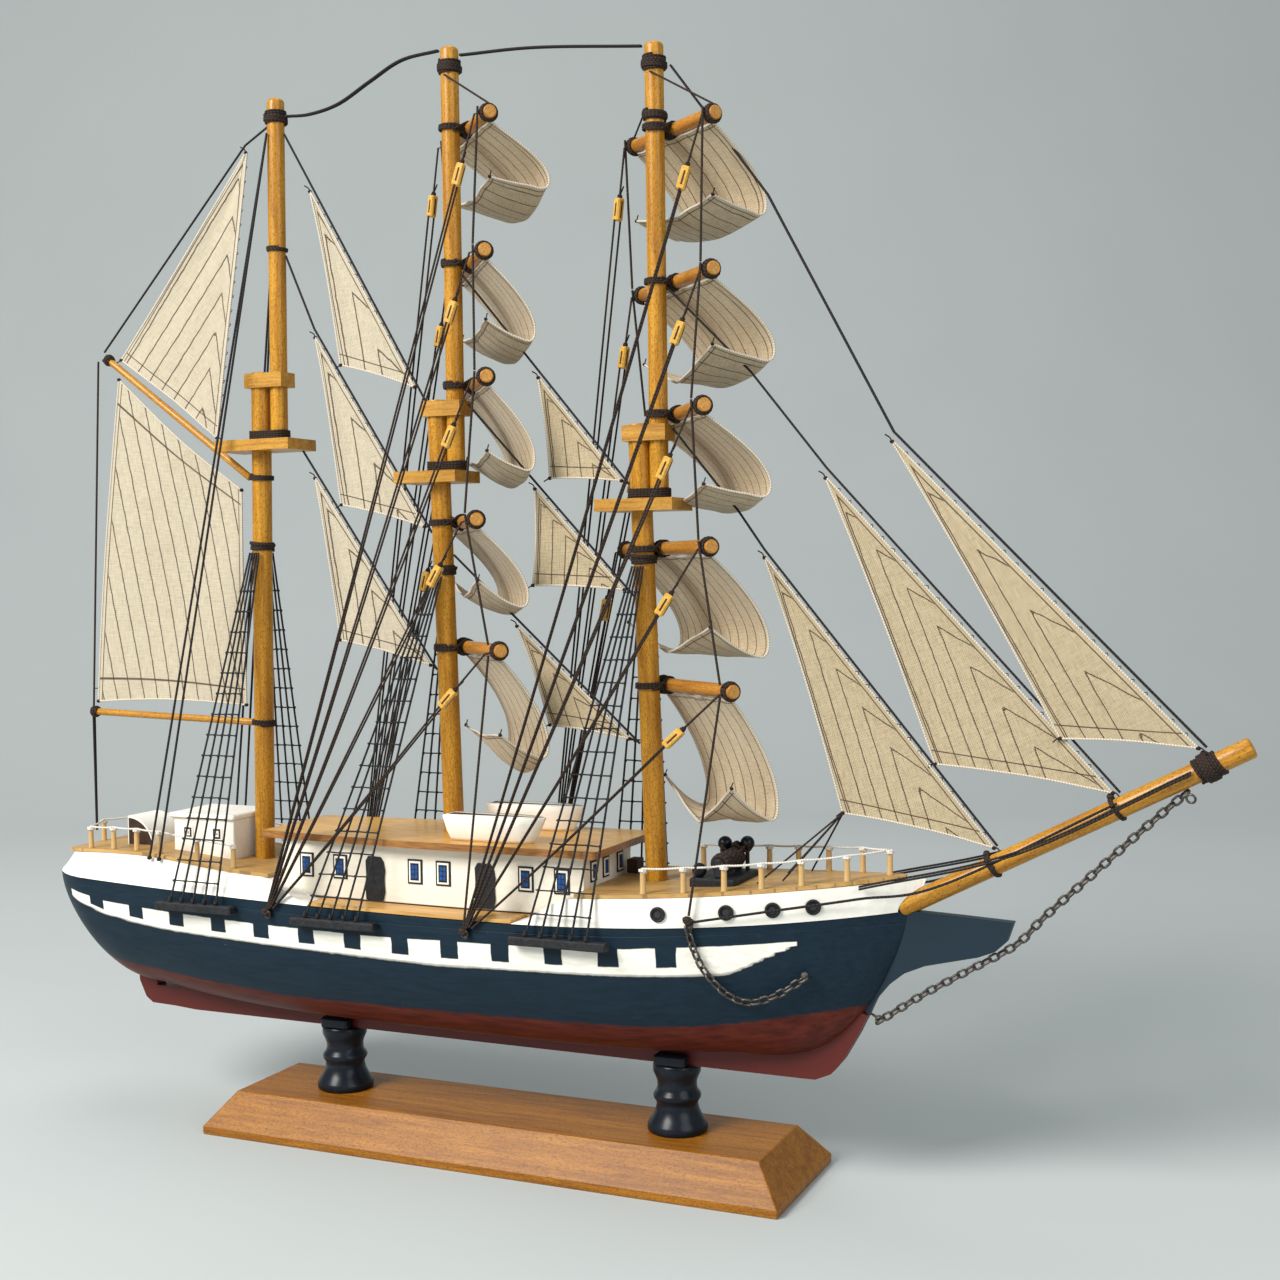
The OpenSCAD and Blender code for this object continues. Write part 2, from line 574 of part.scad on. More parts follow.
// A square sail: its section hangs from the yard, bellies ahead and comes back to the clews
function bez(p, t) = pow(1 - t, 3) * p[0] + 3 * t * pow(1 - t, 2) * p[1] + 3 * t * t * (1 - t) * p[2]
    + pow(t, 3) * p[3];
function section(b, c, d) = concat(
    [for (t = [0:0.14:0.99])
        bez([[0.6, -6], [0.45 * b, -6.5 - 0.12 * d], [b, -0.62 * d], [b, -0.88 * d]], t)],
    [for (t = [0:0.25:0.99])
        bez([[b, -0.88 * d], [b, -0.99 * d], [0.9 * b, -1.03 * d], [0.75 * b, -0.97 * d]], t)],
    [[0.75 * b, -0.97 * d], [0.4 * b, -0.5 * (c + 0.95 * d)], [1.2, -c]]);
function side_of(p, i) = let (v = unit(p[min(i + 1, len(p) - 1)] - p[max(i - 1, 0)])) [-v[1], v[0]];
module strip(p, t) {
    n = len(p);
    polygon(concat([for (i = [0:n - 1]) p[i] + t / 2 * side_of(p, i)],
        [for (i = [n - 1:-1:0]) p[i] - t / 2 * side_of(p, i)]));
}
// Slots where the stays pass through the cloth, wide enough for the whole swing
module stay_slots(k, stays) {
    pivot = (at(LOWER[k], 230)[0] + TOP[k][0]) / 2;
    for (s = stays, j = [1:len(s) - 1]) {
        a = up_to(s[j - 1]); b = up_to(s[j]); w = 2 * (b[0] - pivot) * sin(yard_swing) + stay_d + 1.6;
        translate(a) rotate([0, atan2(b[0] - a[0], b[2] - a[2]), 0])
            translate([-(stay_d + 1.6) / 2, -w / 2, 0]) cube([stay_d + 1.6, w, norm(b - a)]);
    }
}
module square_sail(k, r, i, stays) {
    color(LINEN) difference() {
        on_yard(k, r, i) translate([0, 0, 3 - r[i][3]]) linear_extrude(r[i][2] + r[i][3] - 6)
            strip(section(r[i][4], r[i][5], r[i][6]), cloth_t);
        stay_slots(k, stays);
    }
}
module fore_yards() yards(2, FORE, 1);
module main_yards() yards(1, MAIN, 0);
module fore_yard_lines() yard_lines(2, FORE, 1);
module main_yard_lines() yard_lines(1, MAIN, 0);
module fore_sail(i) square_sail(2, FORE, i, JIB_STAYS);
module main_sail(i) square_sail(1, MAIN, i, MAIN_STAYS);

// Cords that cross from a yard set to the hull or the mast: braces, the last lengths of the yardarm
// threads, and the lifts of the top yard
module braces(k, r, e, down) {
    color(CORD) {
        for (i = [0:4], side = [-1, 1]) if (has_brace(r, i, side)) {
            d = brace_dir(k, r, i, side, e); p = brace_start(k, r, i, side); q = eye(e, -side);
            thread(p + (block_drop + block_l + 0.1) * d, q - (2.2 + 1.1 * i) * d, 0.9);
        }
        thread(arm_end(k, r, 4, 1, -4.3, -1.6), eye(down, -1) + [0, -0.4, 2.6], 0.9);
        for (side = [-1, 1]) thread(at(TOP[k], HEAD_Z[k] - 12) + [0, -side * (top_d / 2 + 0.6), 0],
            arm_end(k, r, 0, side, 0, yard_d / 2 + 1.6), 0.8);
    }
}
module fore_braces() braces(2, FORE, 1, 2);
module main_braces() braces(1, MAIN, 0, 1);

// Boom, gaff and their sails
module fore_aft(points) {
    rotate([90, 0, 0]) linear_extrude(cloth_t, center = true) polygon(points);
}
module spar_ring(z) {
    wrap(LOWER[0], z, lower_d, 3.2, free, lash_t);
}
module boom() {
    color(MAST) round_bar(up_to(BOOM[0]), up_to(BOOM[1]), boom_d);
    color(CORD) spar_ring(BOOM[1][1]);
}
module gaff() {
    color(MAST) round_bar(up_to(GAFF[0]), up_to(GAFF[1]), boom_d);
    color(CORD) spar_ring(GAFF[1][1]);
}
module spanker() {
    color(LINEN) fore_aft(SPANKER);
    color(CORD) thread([-197.5, 0, 324.6], [-205, 0, 172.8], 0.9);
}
module gaff_topsail() { color(LINEN) fore_aft(GAFF_TOPSAIL); }
module spanker_lines() {
    color(CORD) {
        route([[-104.8, 0, 416], [-116.6, 0, 409.5], [-194, 0, 328.4]], 0.9);
        thread([-205, 0, 168.4], [-205, 0, poop_top(-200) + 6], 0.9);
    }
}

module jibs() {
    color(LINEN) for (i = [0:2]) translate([0, i == 2 ? -1.6 : 0, 0]) fore_aft(JIBS[i]);
}
module main_staysails() { color(LINEN) for (p = MAIN_STAYSAILS) fore_aft(p); }
module mizzen_staysails() { color(LINEN) for (p = MIZZEN_STAYSAILS) fore_aft(p); }

// Shrouds: five threads a side on each mast, with ratlines across them
function shroud_top(k, s, j) =
    at(LOWER[k], SHROUD_Z[k] - 2.6) + [(j - 2) * 1.1 - 0.6, s * (lower_d / 2 + 0.8), 0];
function shroud_foot(k, s, j) = [FEET[k][0] + (FEET[k][1] - FEET[k][0]) * j / 4,
    s * (breadth(FEET[k][0] + 12) + 3.9), foot_z(k) - 0.1];
function shroud_at(k, s, j, f) = shroud_foot(k, s, j) + f * (shroud_top(k, s, j) - shroud_foot(k, s, j));
ratline_gap = 8.6;
module shrouds() {
    color(BLACK) for (k = [0:2], s = [-1, 1]) {
        for (j = [0:4]) thread(shroud_foot(k, s, j), shroud_top(k, s, j), shroud_d);
        h = SHROUD_Z[k] - foot_z(k);
        for (z = [ratline_gap:ratline_gap:0.93 * h])
            thread(shroud_at(k, s, -0.15, z / h) + [0, s * 0.85, 0.1],
                shroud_at(k, s, 4.15, z / h) + [0, s * 0.85, 0.1], 0.6);
    }
}

// Stays, the cords between the mastheads, backstays and the bowsprit's guys
module standing_rigging() {
    color(CORD) {
        for (s = concat(JIB_STAYS, MAIN_STAYS, MIZZEN_STAYS)) route([for (p = s) up_to(p)], stay_d);
        route([for (p = [[-95.9, 419], [-84, 418.5], [-70, 421], [-55, 428], [-40, 434.5], [-23, 436]])
            up_to(p)]);
        route([for (p = [[-13.2, 433], [20, 431.5], [64.6, 426]]) up_to(p)]);
        for (s = [-1, 1]) {
            for (x = [-152, -147]) route([at(TOP[0], 412) + [-1.5, s * (top_d / 2 + 0.6), 0],
                [-127, s * 17, 256], [x, s * 28.6, poop_top(x) - 1.5 + 1.2]], 0.9);
            route([[262, s * 4.6, 160], [205, s * 10, 131], [150, s * (breadth(150) + 2.4), 116]], 0.9);
            route([[238, s * 4.4, 149], [180, s * 12, 119], [150, s * (breadth(150) + 4.6), 112.5],
                [120, s * (breadth(120) + 3), 108], eye(2, s) + [2.2, s * 0.8, 0.6]], 0.9);
        }
    }
}

// A chain as short bars of the links' outer width, each clear of the next
module chain(p) {
    for (i = [1:len(p) - 1]) let (d = 0.1 * unit(p[i] - p[i - 1]))
        thread(p[i - 1] + d, p[i] - d, chain_d);
}
module anchor_chain() { color(IRON) chain([for (s = CHAIN_STOPS) chain_at(s)]); }
module bobstay_chain() { color(IRON) chain([for (q = BOBSTAY) up_to(q)]); }

base_plinth();
turned_posts();
post_screws();
hull();
keel_board();
cutwater();
poop_block();
forecastle_block();
waist_deck();
poop_deck();
forecastle_deck();
portholes();
channels();
rigging_eyes();
deckhouse();
deckhouse_roof();
doors_and_windows();
lifeboats();
stern_cabins();
windlass();
rail_posts();
rail_line();
mizzen_mast();
main_mast();
fore_mast();
mizzen_topmast();
main_topmast();
fore_topmast();
bowsprit();
mast_platforms();
mast_caps();
mast_lashings();
fore_yards();
fore_yard_lines();
fore_sail(0);  // fore_sail_1
fore_sail(1);  // fore_sail_2
fore_sail(2);  // fore_sail_3
fore_sail(3);  // fore_sail_4
fore_sail(4);  // fore_sail_5
main_yards();
main_yard_lines();
main_sail(0);  // main_sail_1
main_sail(1);  // main_sail_2
main_sail(2);  // main_sail_3
main_sail(3);  // main_sail_4
main_sail(4);  // main_sail_5
boom();
gaff();
spanker();
gaff_topsail();
jibs();
main_staysails();
mizzen_staysails();
shrouds();
standing_rigging();
fore_braces();
main_braces();
spanker_lines();
anchor_chain();
bobstay_chain();
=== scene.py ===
import random
from itertools import product
from math import acos, copysign, cos, hypot, pi, radians, sin, sqrt

import bpy
import numpy as np
from mathutils import Matrix, Vector


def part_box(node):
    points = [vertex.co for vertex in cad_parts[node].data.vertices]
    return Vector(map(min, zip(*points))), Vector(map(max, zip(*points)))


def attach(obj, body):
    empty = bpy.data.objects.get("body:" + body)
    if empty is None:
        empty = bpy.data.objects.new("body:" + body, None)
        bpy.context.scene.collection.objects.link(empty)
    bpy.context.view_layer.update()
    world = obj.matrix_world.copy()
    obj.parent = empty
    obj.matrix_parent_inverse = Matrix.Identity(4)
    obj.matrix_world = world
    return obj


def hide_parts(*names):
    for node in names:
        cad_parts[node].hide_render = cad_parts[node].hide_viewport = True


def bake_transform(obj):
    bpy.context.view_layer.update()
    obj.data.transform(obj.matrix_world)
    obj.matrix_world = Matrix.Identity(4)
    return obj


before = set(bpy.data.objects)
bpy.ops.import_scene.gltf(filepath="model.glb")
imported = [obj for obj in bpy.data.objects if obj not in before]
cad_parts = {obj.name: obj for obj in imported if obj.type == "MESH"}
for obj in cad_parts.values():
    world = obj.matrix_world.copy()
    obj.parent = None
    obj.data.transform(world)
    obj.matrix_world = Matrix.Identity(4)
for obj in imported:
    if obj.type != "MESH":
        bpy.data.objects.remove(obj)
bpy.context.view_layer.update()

# Lengths in this script are millimetres until a piece is made; then they become metres.
MM = 0.001
# signs on y, starboard first; along a yard, which has its own axes, +1 is to starboard
SIDES = (-1, 1)
SHIP, CHAIN_SET, SPANKER_SET = "ship", "anchor_chain", "spanker_set"
rng = random.Random(7)


def vec(*a):
    return np.array(a, float)


X, Y, Z = vec(1, 0, 0), vec(0, 1, 0), vec(0, 0, 1)


def unit(v):
    return np.asarray(v, float) / np.linalg.norm(v)


def lerp(a, b, t):
    return np.asarray(a, float) * (1 - t) + np.asarray(b, float) * t


def turns(n):
    return np.linspace(0, 2 * pi, n, endpoint=False)


def square_to(axis):
    """Two unit directions square to an axis and to each other."""
    e1 = unit(np.cross(axis, Z if abs(axis[2]) < 0.9 else X))
    return e1, np.cross(axis, e1)


def arc_lengths(P):
    return np.append(0, np.linalg.norm(np.diff(P, axis=0), axis=1).cumsum())


def box_mm(node):
    low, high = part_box(node)
    return np.array(low) / MM, np.array(high) / MM


# ---------------------------------------------------------------- the model's plan, as in the CAD
STERN_X, BOW_X, QUARTER_X, MID_X = -216.0, 168.0, -186.0, 20.0
DECK_Z, HALF, STERN_HALF = 98.0, 35.0, 28.0
WALL_HALF, ROOF_Z, DECK_T = 21.5, 126.0, 1.4


def sheer(x):
    return DECK_Z + (9 * (x / BOW_X) ** 2 if x > 0 else 4.5 * (x / STERN_X) ** 2)


def breadth(x):
    if x > MID_X:
        return HALF * (1 - ((x - MID_X) / (BOW_X - MID_X)) ** 2.6)
    if x > QUARTER_X:
        return HALF - (HALF - STERN_HALF) * ((MID_X - x) / (MID_X - QUARTER_X)) ** 2
    return STERN_HALF * sqrt(max(0, 1 - ((QUARTER_X - x) / (QUARTER_X - STERN_X)) ** 2))


def belly_z(x):
    if x > 105:
        return 50 + (sheer(BOW_X) - 50) * ((x - 105) / (BOW_X - 105)) ** 3
    if x < -160:
        return 54 + (sheer(x) - 54.6) * ((-160 - x) / 56) ** 2.6
    return 48 + 6 * (x / 160) ** 4 + (1.5 * (x - 60) / 45 if x > 60 else 0)


def fullness(x):
    return 0.6 + 0.4 * abs((x + 20) / 190) ** 2.5


def ease(t):
    t = min(1, max(0, t))
    return t * t * (3 - 2 * t)


def poop_top(x):
    rise = 0.9 + 8.4 * ease((-70 - x) / 24) + 3 * ease((-100 - x) / 60)
    return sheer(x) + rise - 4.5 * (min(0, x + 150) / 66) ** 2


def castle_top(x):
    return sheer(x) + 0.3 + 10 * ease((x - 22) / 24) + 1.4 * x / BOW_X


# the mizzen, main and fore mast, in this order: x at z = 0 and lean, then heights
LOWER = [(-116, 0.0155), (-18.5, -0.026), (70, -0.030)]
TOP = [(-105.6, 0.0109), (-18, 0), (69.7, 0)]
FOOT_Z, PLATFORM_Z, HEAD_Z, SHROUD_Z = [104, 116, 106], [284, 268, 254.5], [427, 437, 427], [242, 231, 234]
DOUBLING, CAP_H = 24, 6
LOWER_D, TOP_D, YARD_D, SPRIT_D, BOOM_D = 8.2, 7.2, 5.2, 7.2, 3.0
LASH, FREE = 0.9, 0.45


def at(mast, z):
    return vec(mast[0] + mast[1] * z, 0, z)


def lean(mast):
    return vec(mast[1], 0, 1)


# yards, top to bottom: height, brace angle, arm to starboard, arm to port, belly, clew, foot; then
# the share of the depth at the side edges, the depth of the foot's middle, the belly's extra sag
FORE = [(395, 55, 30, 30, 23, 29, 38, 0.90, 32.6, 0), (338, 47, 34, 34, 25, 27, 34, 0.94, 37.5, 4),
        (288.5, 37, 38, 38, 25, 28, 33, 0.98, 33.4, 4), (238, 48, 42, 37.5, 24, 29, 40, 1, 39.5, 1),
        (186, 51, 50, 6, 19, 35, 47, 1, 50, 3)]
MAIN = [(405, 45, 30, 30, 24, 24, 30, 0.90, 28, 4), (352, 38, 33, 33, 19, 26, 35, 0.96, 29, 3),
        (304, 37, 36, 36, 18, 28, 37, 0.95, 31, 3), (250, 38, 39, 39, 20, 23, 33, 1, 30, 4),
        (200, 46, 46, 7, 19, 32, 41, 1, 34, 8)]


class Yard:
    """One yard of a mast: its axes and any point on it."""

    def __init__(self, k, i, row):
        self.z, brace, self.star, self.port, self.belly, self.clew, self.foot = row[:7]
        self.shape = row[7:]
        self.k, self.i = k, i
        self.mast, self.mast_d = (TOP[k], TOP_D) if i < 3 else (LOWER[k], LOWER_D)
        b = radians(brace)
        self.fwd, self.stbd = vec(cos(b), sin(b), 0), vec(sin(b), -cos(b), 0)
        off = self.mast_d / 2 + FREE + LASH + YARD_D / 2 + 0.1
        self.centre = at(self.mast, self.z) + off * self.fwd

    def spot(self, t, s=0.0, h=0.0):
        return self.centre + t * self.stbd + s * self.fwd + h * Z

    def arm(self, side, s=0.0, h=0.0):
        return self.spot(self.star - 2.5 if side > 0 else 2.5 - self.port, s, h)

    def brace_start(self, side):
        return self.arm(side, -4.6 if self.k == 2 else -5.6, -1)

    def braced_sides(self):
        return SIDES if self.port > 20 else (1,)


# name, mast, yards, eye of the braces, eye of the lower thread
SETS = [("fore", 2, [Yard(2, i, r) for i, r in enumerate(FORE)], 1, 2),
        ("main", 1, [Yard(1, i, r) for i, r in enumerate(MAIN)], 0, 1)]
EYES = [(-88.5, 94.5), (3, 93.7), (92.5, 103.2)]


def eye(i, side):
    x, z = EYES[i]
    return vec(x, side * (breadth(x) + 1.6), z)


def up(p, y=0.0):
    return vec(p[0], y, p[1])


# sails as head, tack, clew; stays and spars as points of the middle plane (x, z)
JIBS = [[(111, 235), (195.5, 131), (140.6, 140.8)], [(134.5, 263.5), (236, 152), (174.6, 159.8)],
        [(159.5, 275.5), (264, 168.2), (218.7, 170.2)]]
MAIN_STAYSAILS = [[(19, 305.5), (54, 264), (23.5, 266)], [(17, 262.5), (54.5, 222.5), (15.5, 224.5)],
                  [(8, 209), (56, 165.5), (22, 170)]]
MIZZEN_STAYSAILS = [[(-85, 388), (-36.5, 304.5), (-71.4, 315.4)],
                    [(-84, 328.3), (-33, 248.5), (-72.6, 258.4)],
                    [(-85.5, 270.5), (-31.5, 192.8), (-74.5, 202.8)]]
SPANKER = [(-186.3, 316), (-122.5, 266), (-122.5, 175), (-202, 175.2)]
GAFF_TOPSAIL = [(-115.8, 407.5), (-134.6, 288.5), (-185, 324.5)]
BOOM, GAFF = [(-206, 170.6), (-118.5, 167.8)], [(-193.2, 326), (-117.6, 270.9)]
STAYS = [[(-14, 347.5), (57.3, 262.5)], [(-12.2, 296.5), (58.7, 220)], [(-19.8, 237), (60.3, 163.8)],
         [(-97, 412), (-31.8, 299)], [(-97.4, 362), (-84, 331), (-29.7, 246)], [(-90.8, 281.2), (-28.4, 191)],
         [(75.4, 283), (101.6, 251), (111.5, 236.8), (196.7, 131.7)],
         [(73.95, 335.4), (107, 302), (135.5, 266), (238.5, 152.2)],
         [(76.2, 417.5), (114, 366), (160.5, 277.8), (266.5, 168.4)]]
CHAIN_A, CHAIN_B = vec(92.5, -31.4, 101.4), vec(132, -20.4, 84.4)
CHAIN_STOPS = [(0, 0.8), (0.09, 6), (0.24, 12), (0.46, 16.5), (0.66, 16.5), (0.84, 10.5), (1, 0.8)]
BOBSTAY = [(154, 66), (170, 77), (184, 85.6), (202.5, 97), (213, 108), (228, 122.5), (246, 140),
           (259.5, 152.5)]
SPRIT_A, SPRIT_B = vec(160, 0, 106.6), vec(281, 0, 169)
SHROUD_FEET = [(-136, -113), (-68, -44), (30, 55)]
CASTLE_POSTS, POOP_POSTS = [74, 89, 103.5, 116.5, 130, 145], [-111, -130, -150, -163, -176, -189]
PORTHOLES, DOORS, WINDOWS = [80.5, 105, 121, 134.5], [-45.5, 4], [-78, -62, -27.2, -14.5, 21.7, 37]
POST_H = 9


# ---------------------------------------------------------------- materials
class Num:
    """A shader value that can be added, multiplied and so on; each sum is a Math node."""

    def __init__(self, mat, socket):
        self.mat, self.socket = mat, socket

    def __add__(self, other):
        return self.mat.math("ADD", self, other)

    def __sub__(self, other):
        return self.mat.math("SUBTRACT", self, other)

    def __rsub__(self, other):
        return self.mat.math("SUBTRACT", other, self)

    def __mul__(self, other):
        return self.mat.math("MULTIPLY", self, other)

    def __truediv__(self, other):
        return self.mat.math("DIVIDE", self, other)

    def __abs__(self):
        return self.mat.math("ABSOLUTE", self)


class Mat:
    """A procedural material. Coordinates are centimetres, in the row frame or over the piece."""

    def __init__(self, name, rough=0.5, **principled):
        self.m = bpy.data.materials.new(name)
        self.m.use_nodes = True
        self.b = self.m.node_tree.nodes["Principled BSDF"]
        settings = {"Roughness": rough, "Specular_IOR_Level": 0.3, **principled}
        self.fill(self.b, **settings)

    def put(self, socket, value):
        value = getattr(value, "socket", value)
        if isinstance(value, bpy.types.NodeSocket):
            self.m.node_tree.links.new(value, socket)
        else:
            socket.default_value = value

    def fill(self, node, **values):
        for key, value in values.items():
            self.put(node.inputs[key.replace("_", " ")], value)

    def node(self, kind, **settings):
        n = self.m.node_tree.nodes.new("ShaderNode" + kind)
        for key, value in settings.items():
            setattr(n, key, value)
        return n

    def pos(self, *scale, kind="Object"):
        """Coordinates scaled by one number or by three."""
        n = self.node("Mapping")
        k = 100 if kind == "Object" else 1
        scale = scale * 3 if len(scale) == 1 else scale or (1, 1, 1)
        self.fill(n, Vector=self.node("TexCoord").outputs[kind], Scale=[k * s for s in scale])
        return n.outputs["Vector"]

    def uv(self, *scale):
        return self.pos(*scale, kind="UV")

    def layer(self, name):
        return self.split(self.node("UVMap", uv_map=name).outputs["UV"])

    def noise(self, vector, scale=1.0, detail=3.0, rough=0.55, distort=0.0):
        n = self.node("TexNoise")
        self.fill(n, Vector=vector, Scale=scale, Detail=detail, Roughness=rough, Distortion=distort)
        return Num(self, n.outputs["Fac"])

    def wave(self, vector, scale, axis="X", distort=0.0, detail_scale=1.0):
        n = self.node("TexWave", bands_direction=axis)
        self.fill(n, Vector=vector, Scale=scale, Distortion=distort, Detail=2.0, Detail_Scale=detail_scale)
        return Num(self, n.outputs["Fac"])

    def math(self, op, *values):
        n = self.node("Math", operation=op)
        for socket, value in zip(n.inputs, values):
            self.put(socket, value)
        return Num(self, n.outputs[0])

    def step(self, value, edge, soft):
        """0 below edge, 1 above it, over a width of soft."""
        n = self.node("MapRange", interpolation_type="SMOOTHSTEP")
        self.fill(n, Value=value, From_Min=edge - soft / 2, From_Max=edge + soft / 2)
        return Num(self, n.outputs["Result"])

    def line(self, value, edge, width, soft):
        """1 where value is within width of edge."""
        return 1 - self.step(abs(value - edge), width, soft)

    def split(self, vector):
        n = self.node("SeparateXYZ")
        self.put(n.inputs[0], vector)
        return [Num(self, out) for out in n.outputs]

    def ramp(self, fac, *stops):
        n = self.node("ValToRGB")
        self.fill(n, Fac=fac)
        e = n.color_ramp.elements
        while len(e) < len(stops):
            e.new(0.5)
        for el, (place, rgb) in zip(e, stops):
            el.position, el.color = place, (*rgb, 1)
        return n.outputs["Color"]

    def mix(self, fac, a, b):
        n = self.node("Mix", data_type="RGBA")
        for i, v in ((0, fac), (6, a), (7, b)):
            self.put(n.inputs[i], (*v, 1) if isinstance(v, tuple) else v)
        return n.outputs[2]

    def done(self, rgb, height, strength, distance):
        """The finished material, with this colour and bump."""
        n = self.node("Bump")
        self.fill(n, Height=height, Strength=strength, Distance=distance)
        self.fill(self.b, Base_Color=rgb, Normal=n.outputs["Normal"])
        return self.m


def shade_of(rgb, k):
    return tuple(c * k for c in rgb)


def wood(name, light, dark, turned=False, rough=0.38, grain=1.0, fleck=0.0, planks=0.0, coat=0.125):
    """Varnished wood, its grain along X or, on a turned piece, along the piece."""
    m = Mat(name, rough, Coat_Weight=coat, Coat_Roughness=0.22)
    long, across = 0.16 * grain, 2.6 * grain
    p = m.uv(across, long, 1) if turned else m.pos(long, across, across)
    shade = m.noise(p, 2.2, 6, 0.62, 0.5) * 0.65 + m.noise(p, 0.55, 3, 0.5, 0.8) * 0.35
    rgb = m.ramp(shade, (0.33, dark), (0.47, tuple((a + b) / 2 for a, b in zip(light, dark))), (0.62, light))
    if fleck:
        q = m.uv(15, 5.5, 1) if turned else m.pos(5.5, 15, 15)
        spots = m.step(m.noise(q, 1.6, 2, 0.6, 1.2), 0.56, 0.1)
        rgb = m.mix(spots * fleck, rgb, shade_of(dark, 0.42))
    if planks:
        joint = m.math("LESS_THAN", m.math("FRACT", m.split(m.pos())[1] * (10.0 / planks)), 0.09)
        rgb = m.mix(joint * 0.55, rgb, shade_of(dark, 0.35))
        shade = shade - joint * 0.8
    return m.done(rgb, shade, 0.25, 0.00012)


def paint(name, base, worn):
    """Brushed paint: faint strokes along the hull, small chips and a little dirt."""
    m = Mat(name, 0.45, Coat_Weight=0.03, Coat_Roughness=0.3)
    strokes = m.noise(m.pos(0.35, 3.0, 3.0), 2.0, 5, 0.6, 0.3)
    cloud = m.noise(m.pos(), 0.45, 4, 0.6)
    rgb = m.ramp(cloud * 0.5 + strokes * 0.5, (0.3, shade_of(base, 0.86)), (0.62, base))
    chips = m.step(m.noise(m.pos(), 9.0, 3, 0.6), 0.735, 0.03)
    return m.done(m.mix(chips * 0.5, rgb, worn), strokes, 0.3, 0.00015)


def cord_mat(name, light, dark, twist=1.4, rough=0.85):
    """Twisted cord: slanting strands round and along the tube."""
    m = Mat(name, rough)
    around, along = m.split(m.uv())[:2]
    strand = 1 - abs(m.math("FRACT", around + along * (10 / twist)) * 2 - 1)
    f = strand * 0.6 + m.noise(m.pos(), 26, 3, 0.7) * 0.4
    return m.done(m.ramp(f, (0.18, dark), (0.75, light)), f, 0.7, 0.0003)


def linen_mat(name, light, dark, seam, hem=0.17):
    """Coarse linen with stitched seams every seam cm, a hem all round and small slubs. The layer
    "edge" holds the distance to the nearest side and to the head or foot, in cm; the layer "seam"
    the place across the seams, in cm, and how much finer they run."""
    m = Mat(name, 0.92, Sheen_Weight=0.15)
    weave = m.wave(m.uv(), 5.2, "X", 1.6, 1.5) + m.wave(m.uv(), 5.8, "Y", 1.9, 1.5)
    slubs = m.noise(m.uv(1.2, 14, 1), 1.6, 4, 0.6) + m.noise(m.uv(14, 1.2, 1), 1.6, 4, 0.6)
    body = weave * 0.12 + slubs * 0.4
    side, end = m.layer("edge")[:2]
    across, finer = m.layer("seam")[:2]
    wobble = m.noise(m.uv(2, 2, 1), 1.0, 2) * 0.12
    near = abs(m.math("FRACT", across * (1.0 / seam) + wobble) - 0.5) / finer
    dash = m.step(m.wave(m.uv(), 3.2, "Y"), 0.22, 0.2)
    inside = m.step(side, 0.2, 0.02)
    seams = (1 - m.step(near, 0.042, 0.03)) * inside * (dash * 0.3 + 0.66)
    hems = m.math("MAXIMUM", m.line(side, 0.17, 0.022, 0.02), m.line(end, hem, 0.022, 0.02))
    brown = (0.055, 0.03, 0.015)
    rgb = m.mix((1 - inside) * 0.35, m.ramp(body, (0.38, dark), (0.58, light)), light)
    rgb = m.mix(hems * 0.92, m.mix(seams, rgb, brown), brown)
    stain = m.step(m.noise(m.uv(0.35, 0.35, 1), 1.2, 3, 0.6), 0.62, 0.3)
    return m.done(m.mix(stain * 0.18, rgb, (0.36, 0.26, 0.15)), body - seams * 0.4, 0.55, 0.00025)


def hull_mat():
    """Navy topsides, a white band with navy ports cut from its top, and red below. On the shell's
    map u counts ports along the side and v is 0 at the red line, 1 and 2 at the band's edges."""
    m = Mat("hull_paint", 0.45, Specular_IOR_Level=0.16)
    u, v = m.split(m.uv())[:2]
    wobble = m.noise(m.pos(1.4), 1.5, 2) * 0.06 - 0.03
    strokes = m.noise(m.pos(0.35, 3.0, 3.0), 2.2, 5, 0.6, 0.3)
    navy = m.ramp(strokes, (0.3, (0.0050, 0.0145, 0.025)), (0.7, (0.0085, 0.0235, 0.039)))
    white = m.ramp(strokes, (0.3, (0.76, 0.73, 0.63)), (0.65, (0.92, 0.90, 0.81)))
    streaks = m.noise(m.pos(0.3, 2.2, 2.2), 2.0, 4, 0.6)
    red = m.ramp(streaks, (0.3, (0.055, 0.008, 0.006)), (0.7, (0.125, 0.022, 0.012)))
    groove = m.line(v, 2.62, 0.03, 0.03)
    v = v + wobble
    port = abs(m.math("FRACT", u + wobble * 0.6) - 0.5) - (m.noise(m.pos(0.3), 2.2, 1) * 0.06 + 0.145)

    def between(value, low, high, soft):
        return m.step(value, low, soft) * (1 - m.step(value, high, soft))

    notch = (1 - m.step(port, 0.0, 0.02)) * m.step(v, 1.31, 0.05) * between(u, 0.0, 13.0, 0.01)
    reach = between(u, -0.2, 14.58, 0.02)
    rgb = m.mix(between(v, 1.0, 2.0, 0.05) * reach * (1 - notch), navy, white)
    rgb = m.mix(m.line(v, 1.0, 0.06, 0.05) * reach * 0.5, rgb, (0.01, 0.015, 0.02))
    rgb = m.mix(1 - m.step(v, 0.0, 0.04), rgb, red)
    scratch = m.step(m.noise(m.pos(0.6, 5, 5), 2.4, 4, 0.7), 0.72, 0.04)
    return m.done(m.mix(scratch * 0.18, rgb, (0.4, 0.36, 0.3)), strokes * 0.4 - groove * 0.8, 0.5, 0.0002)


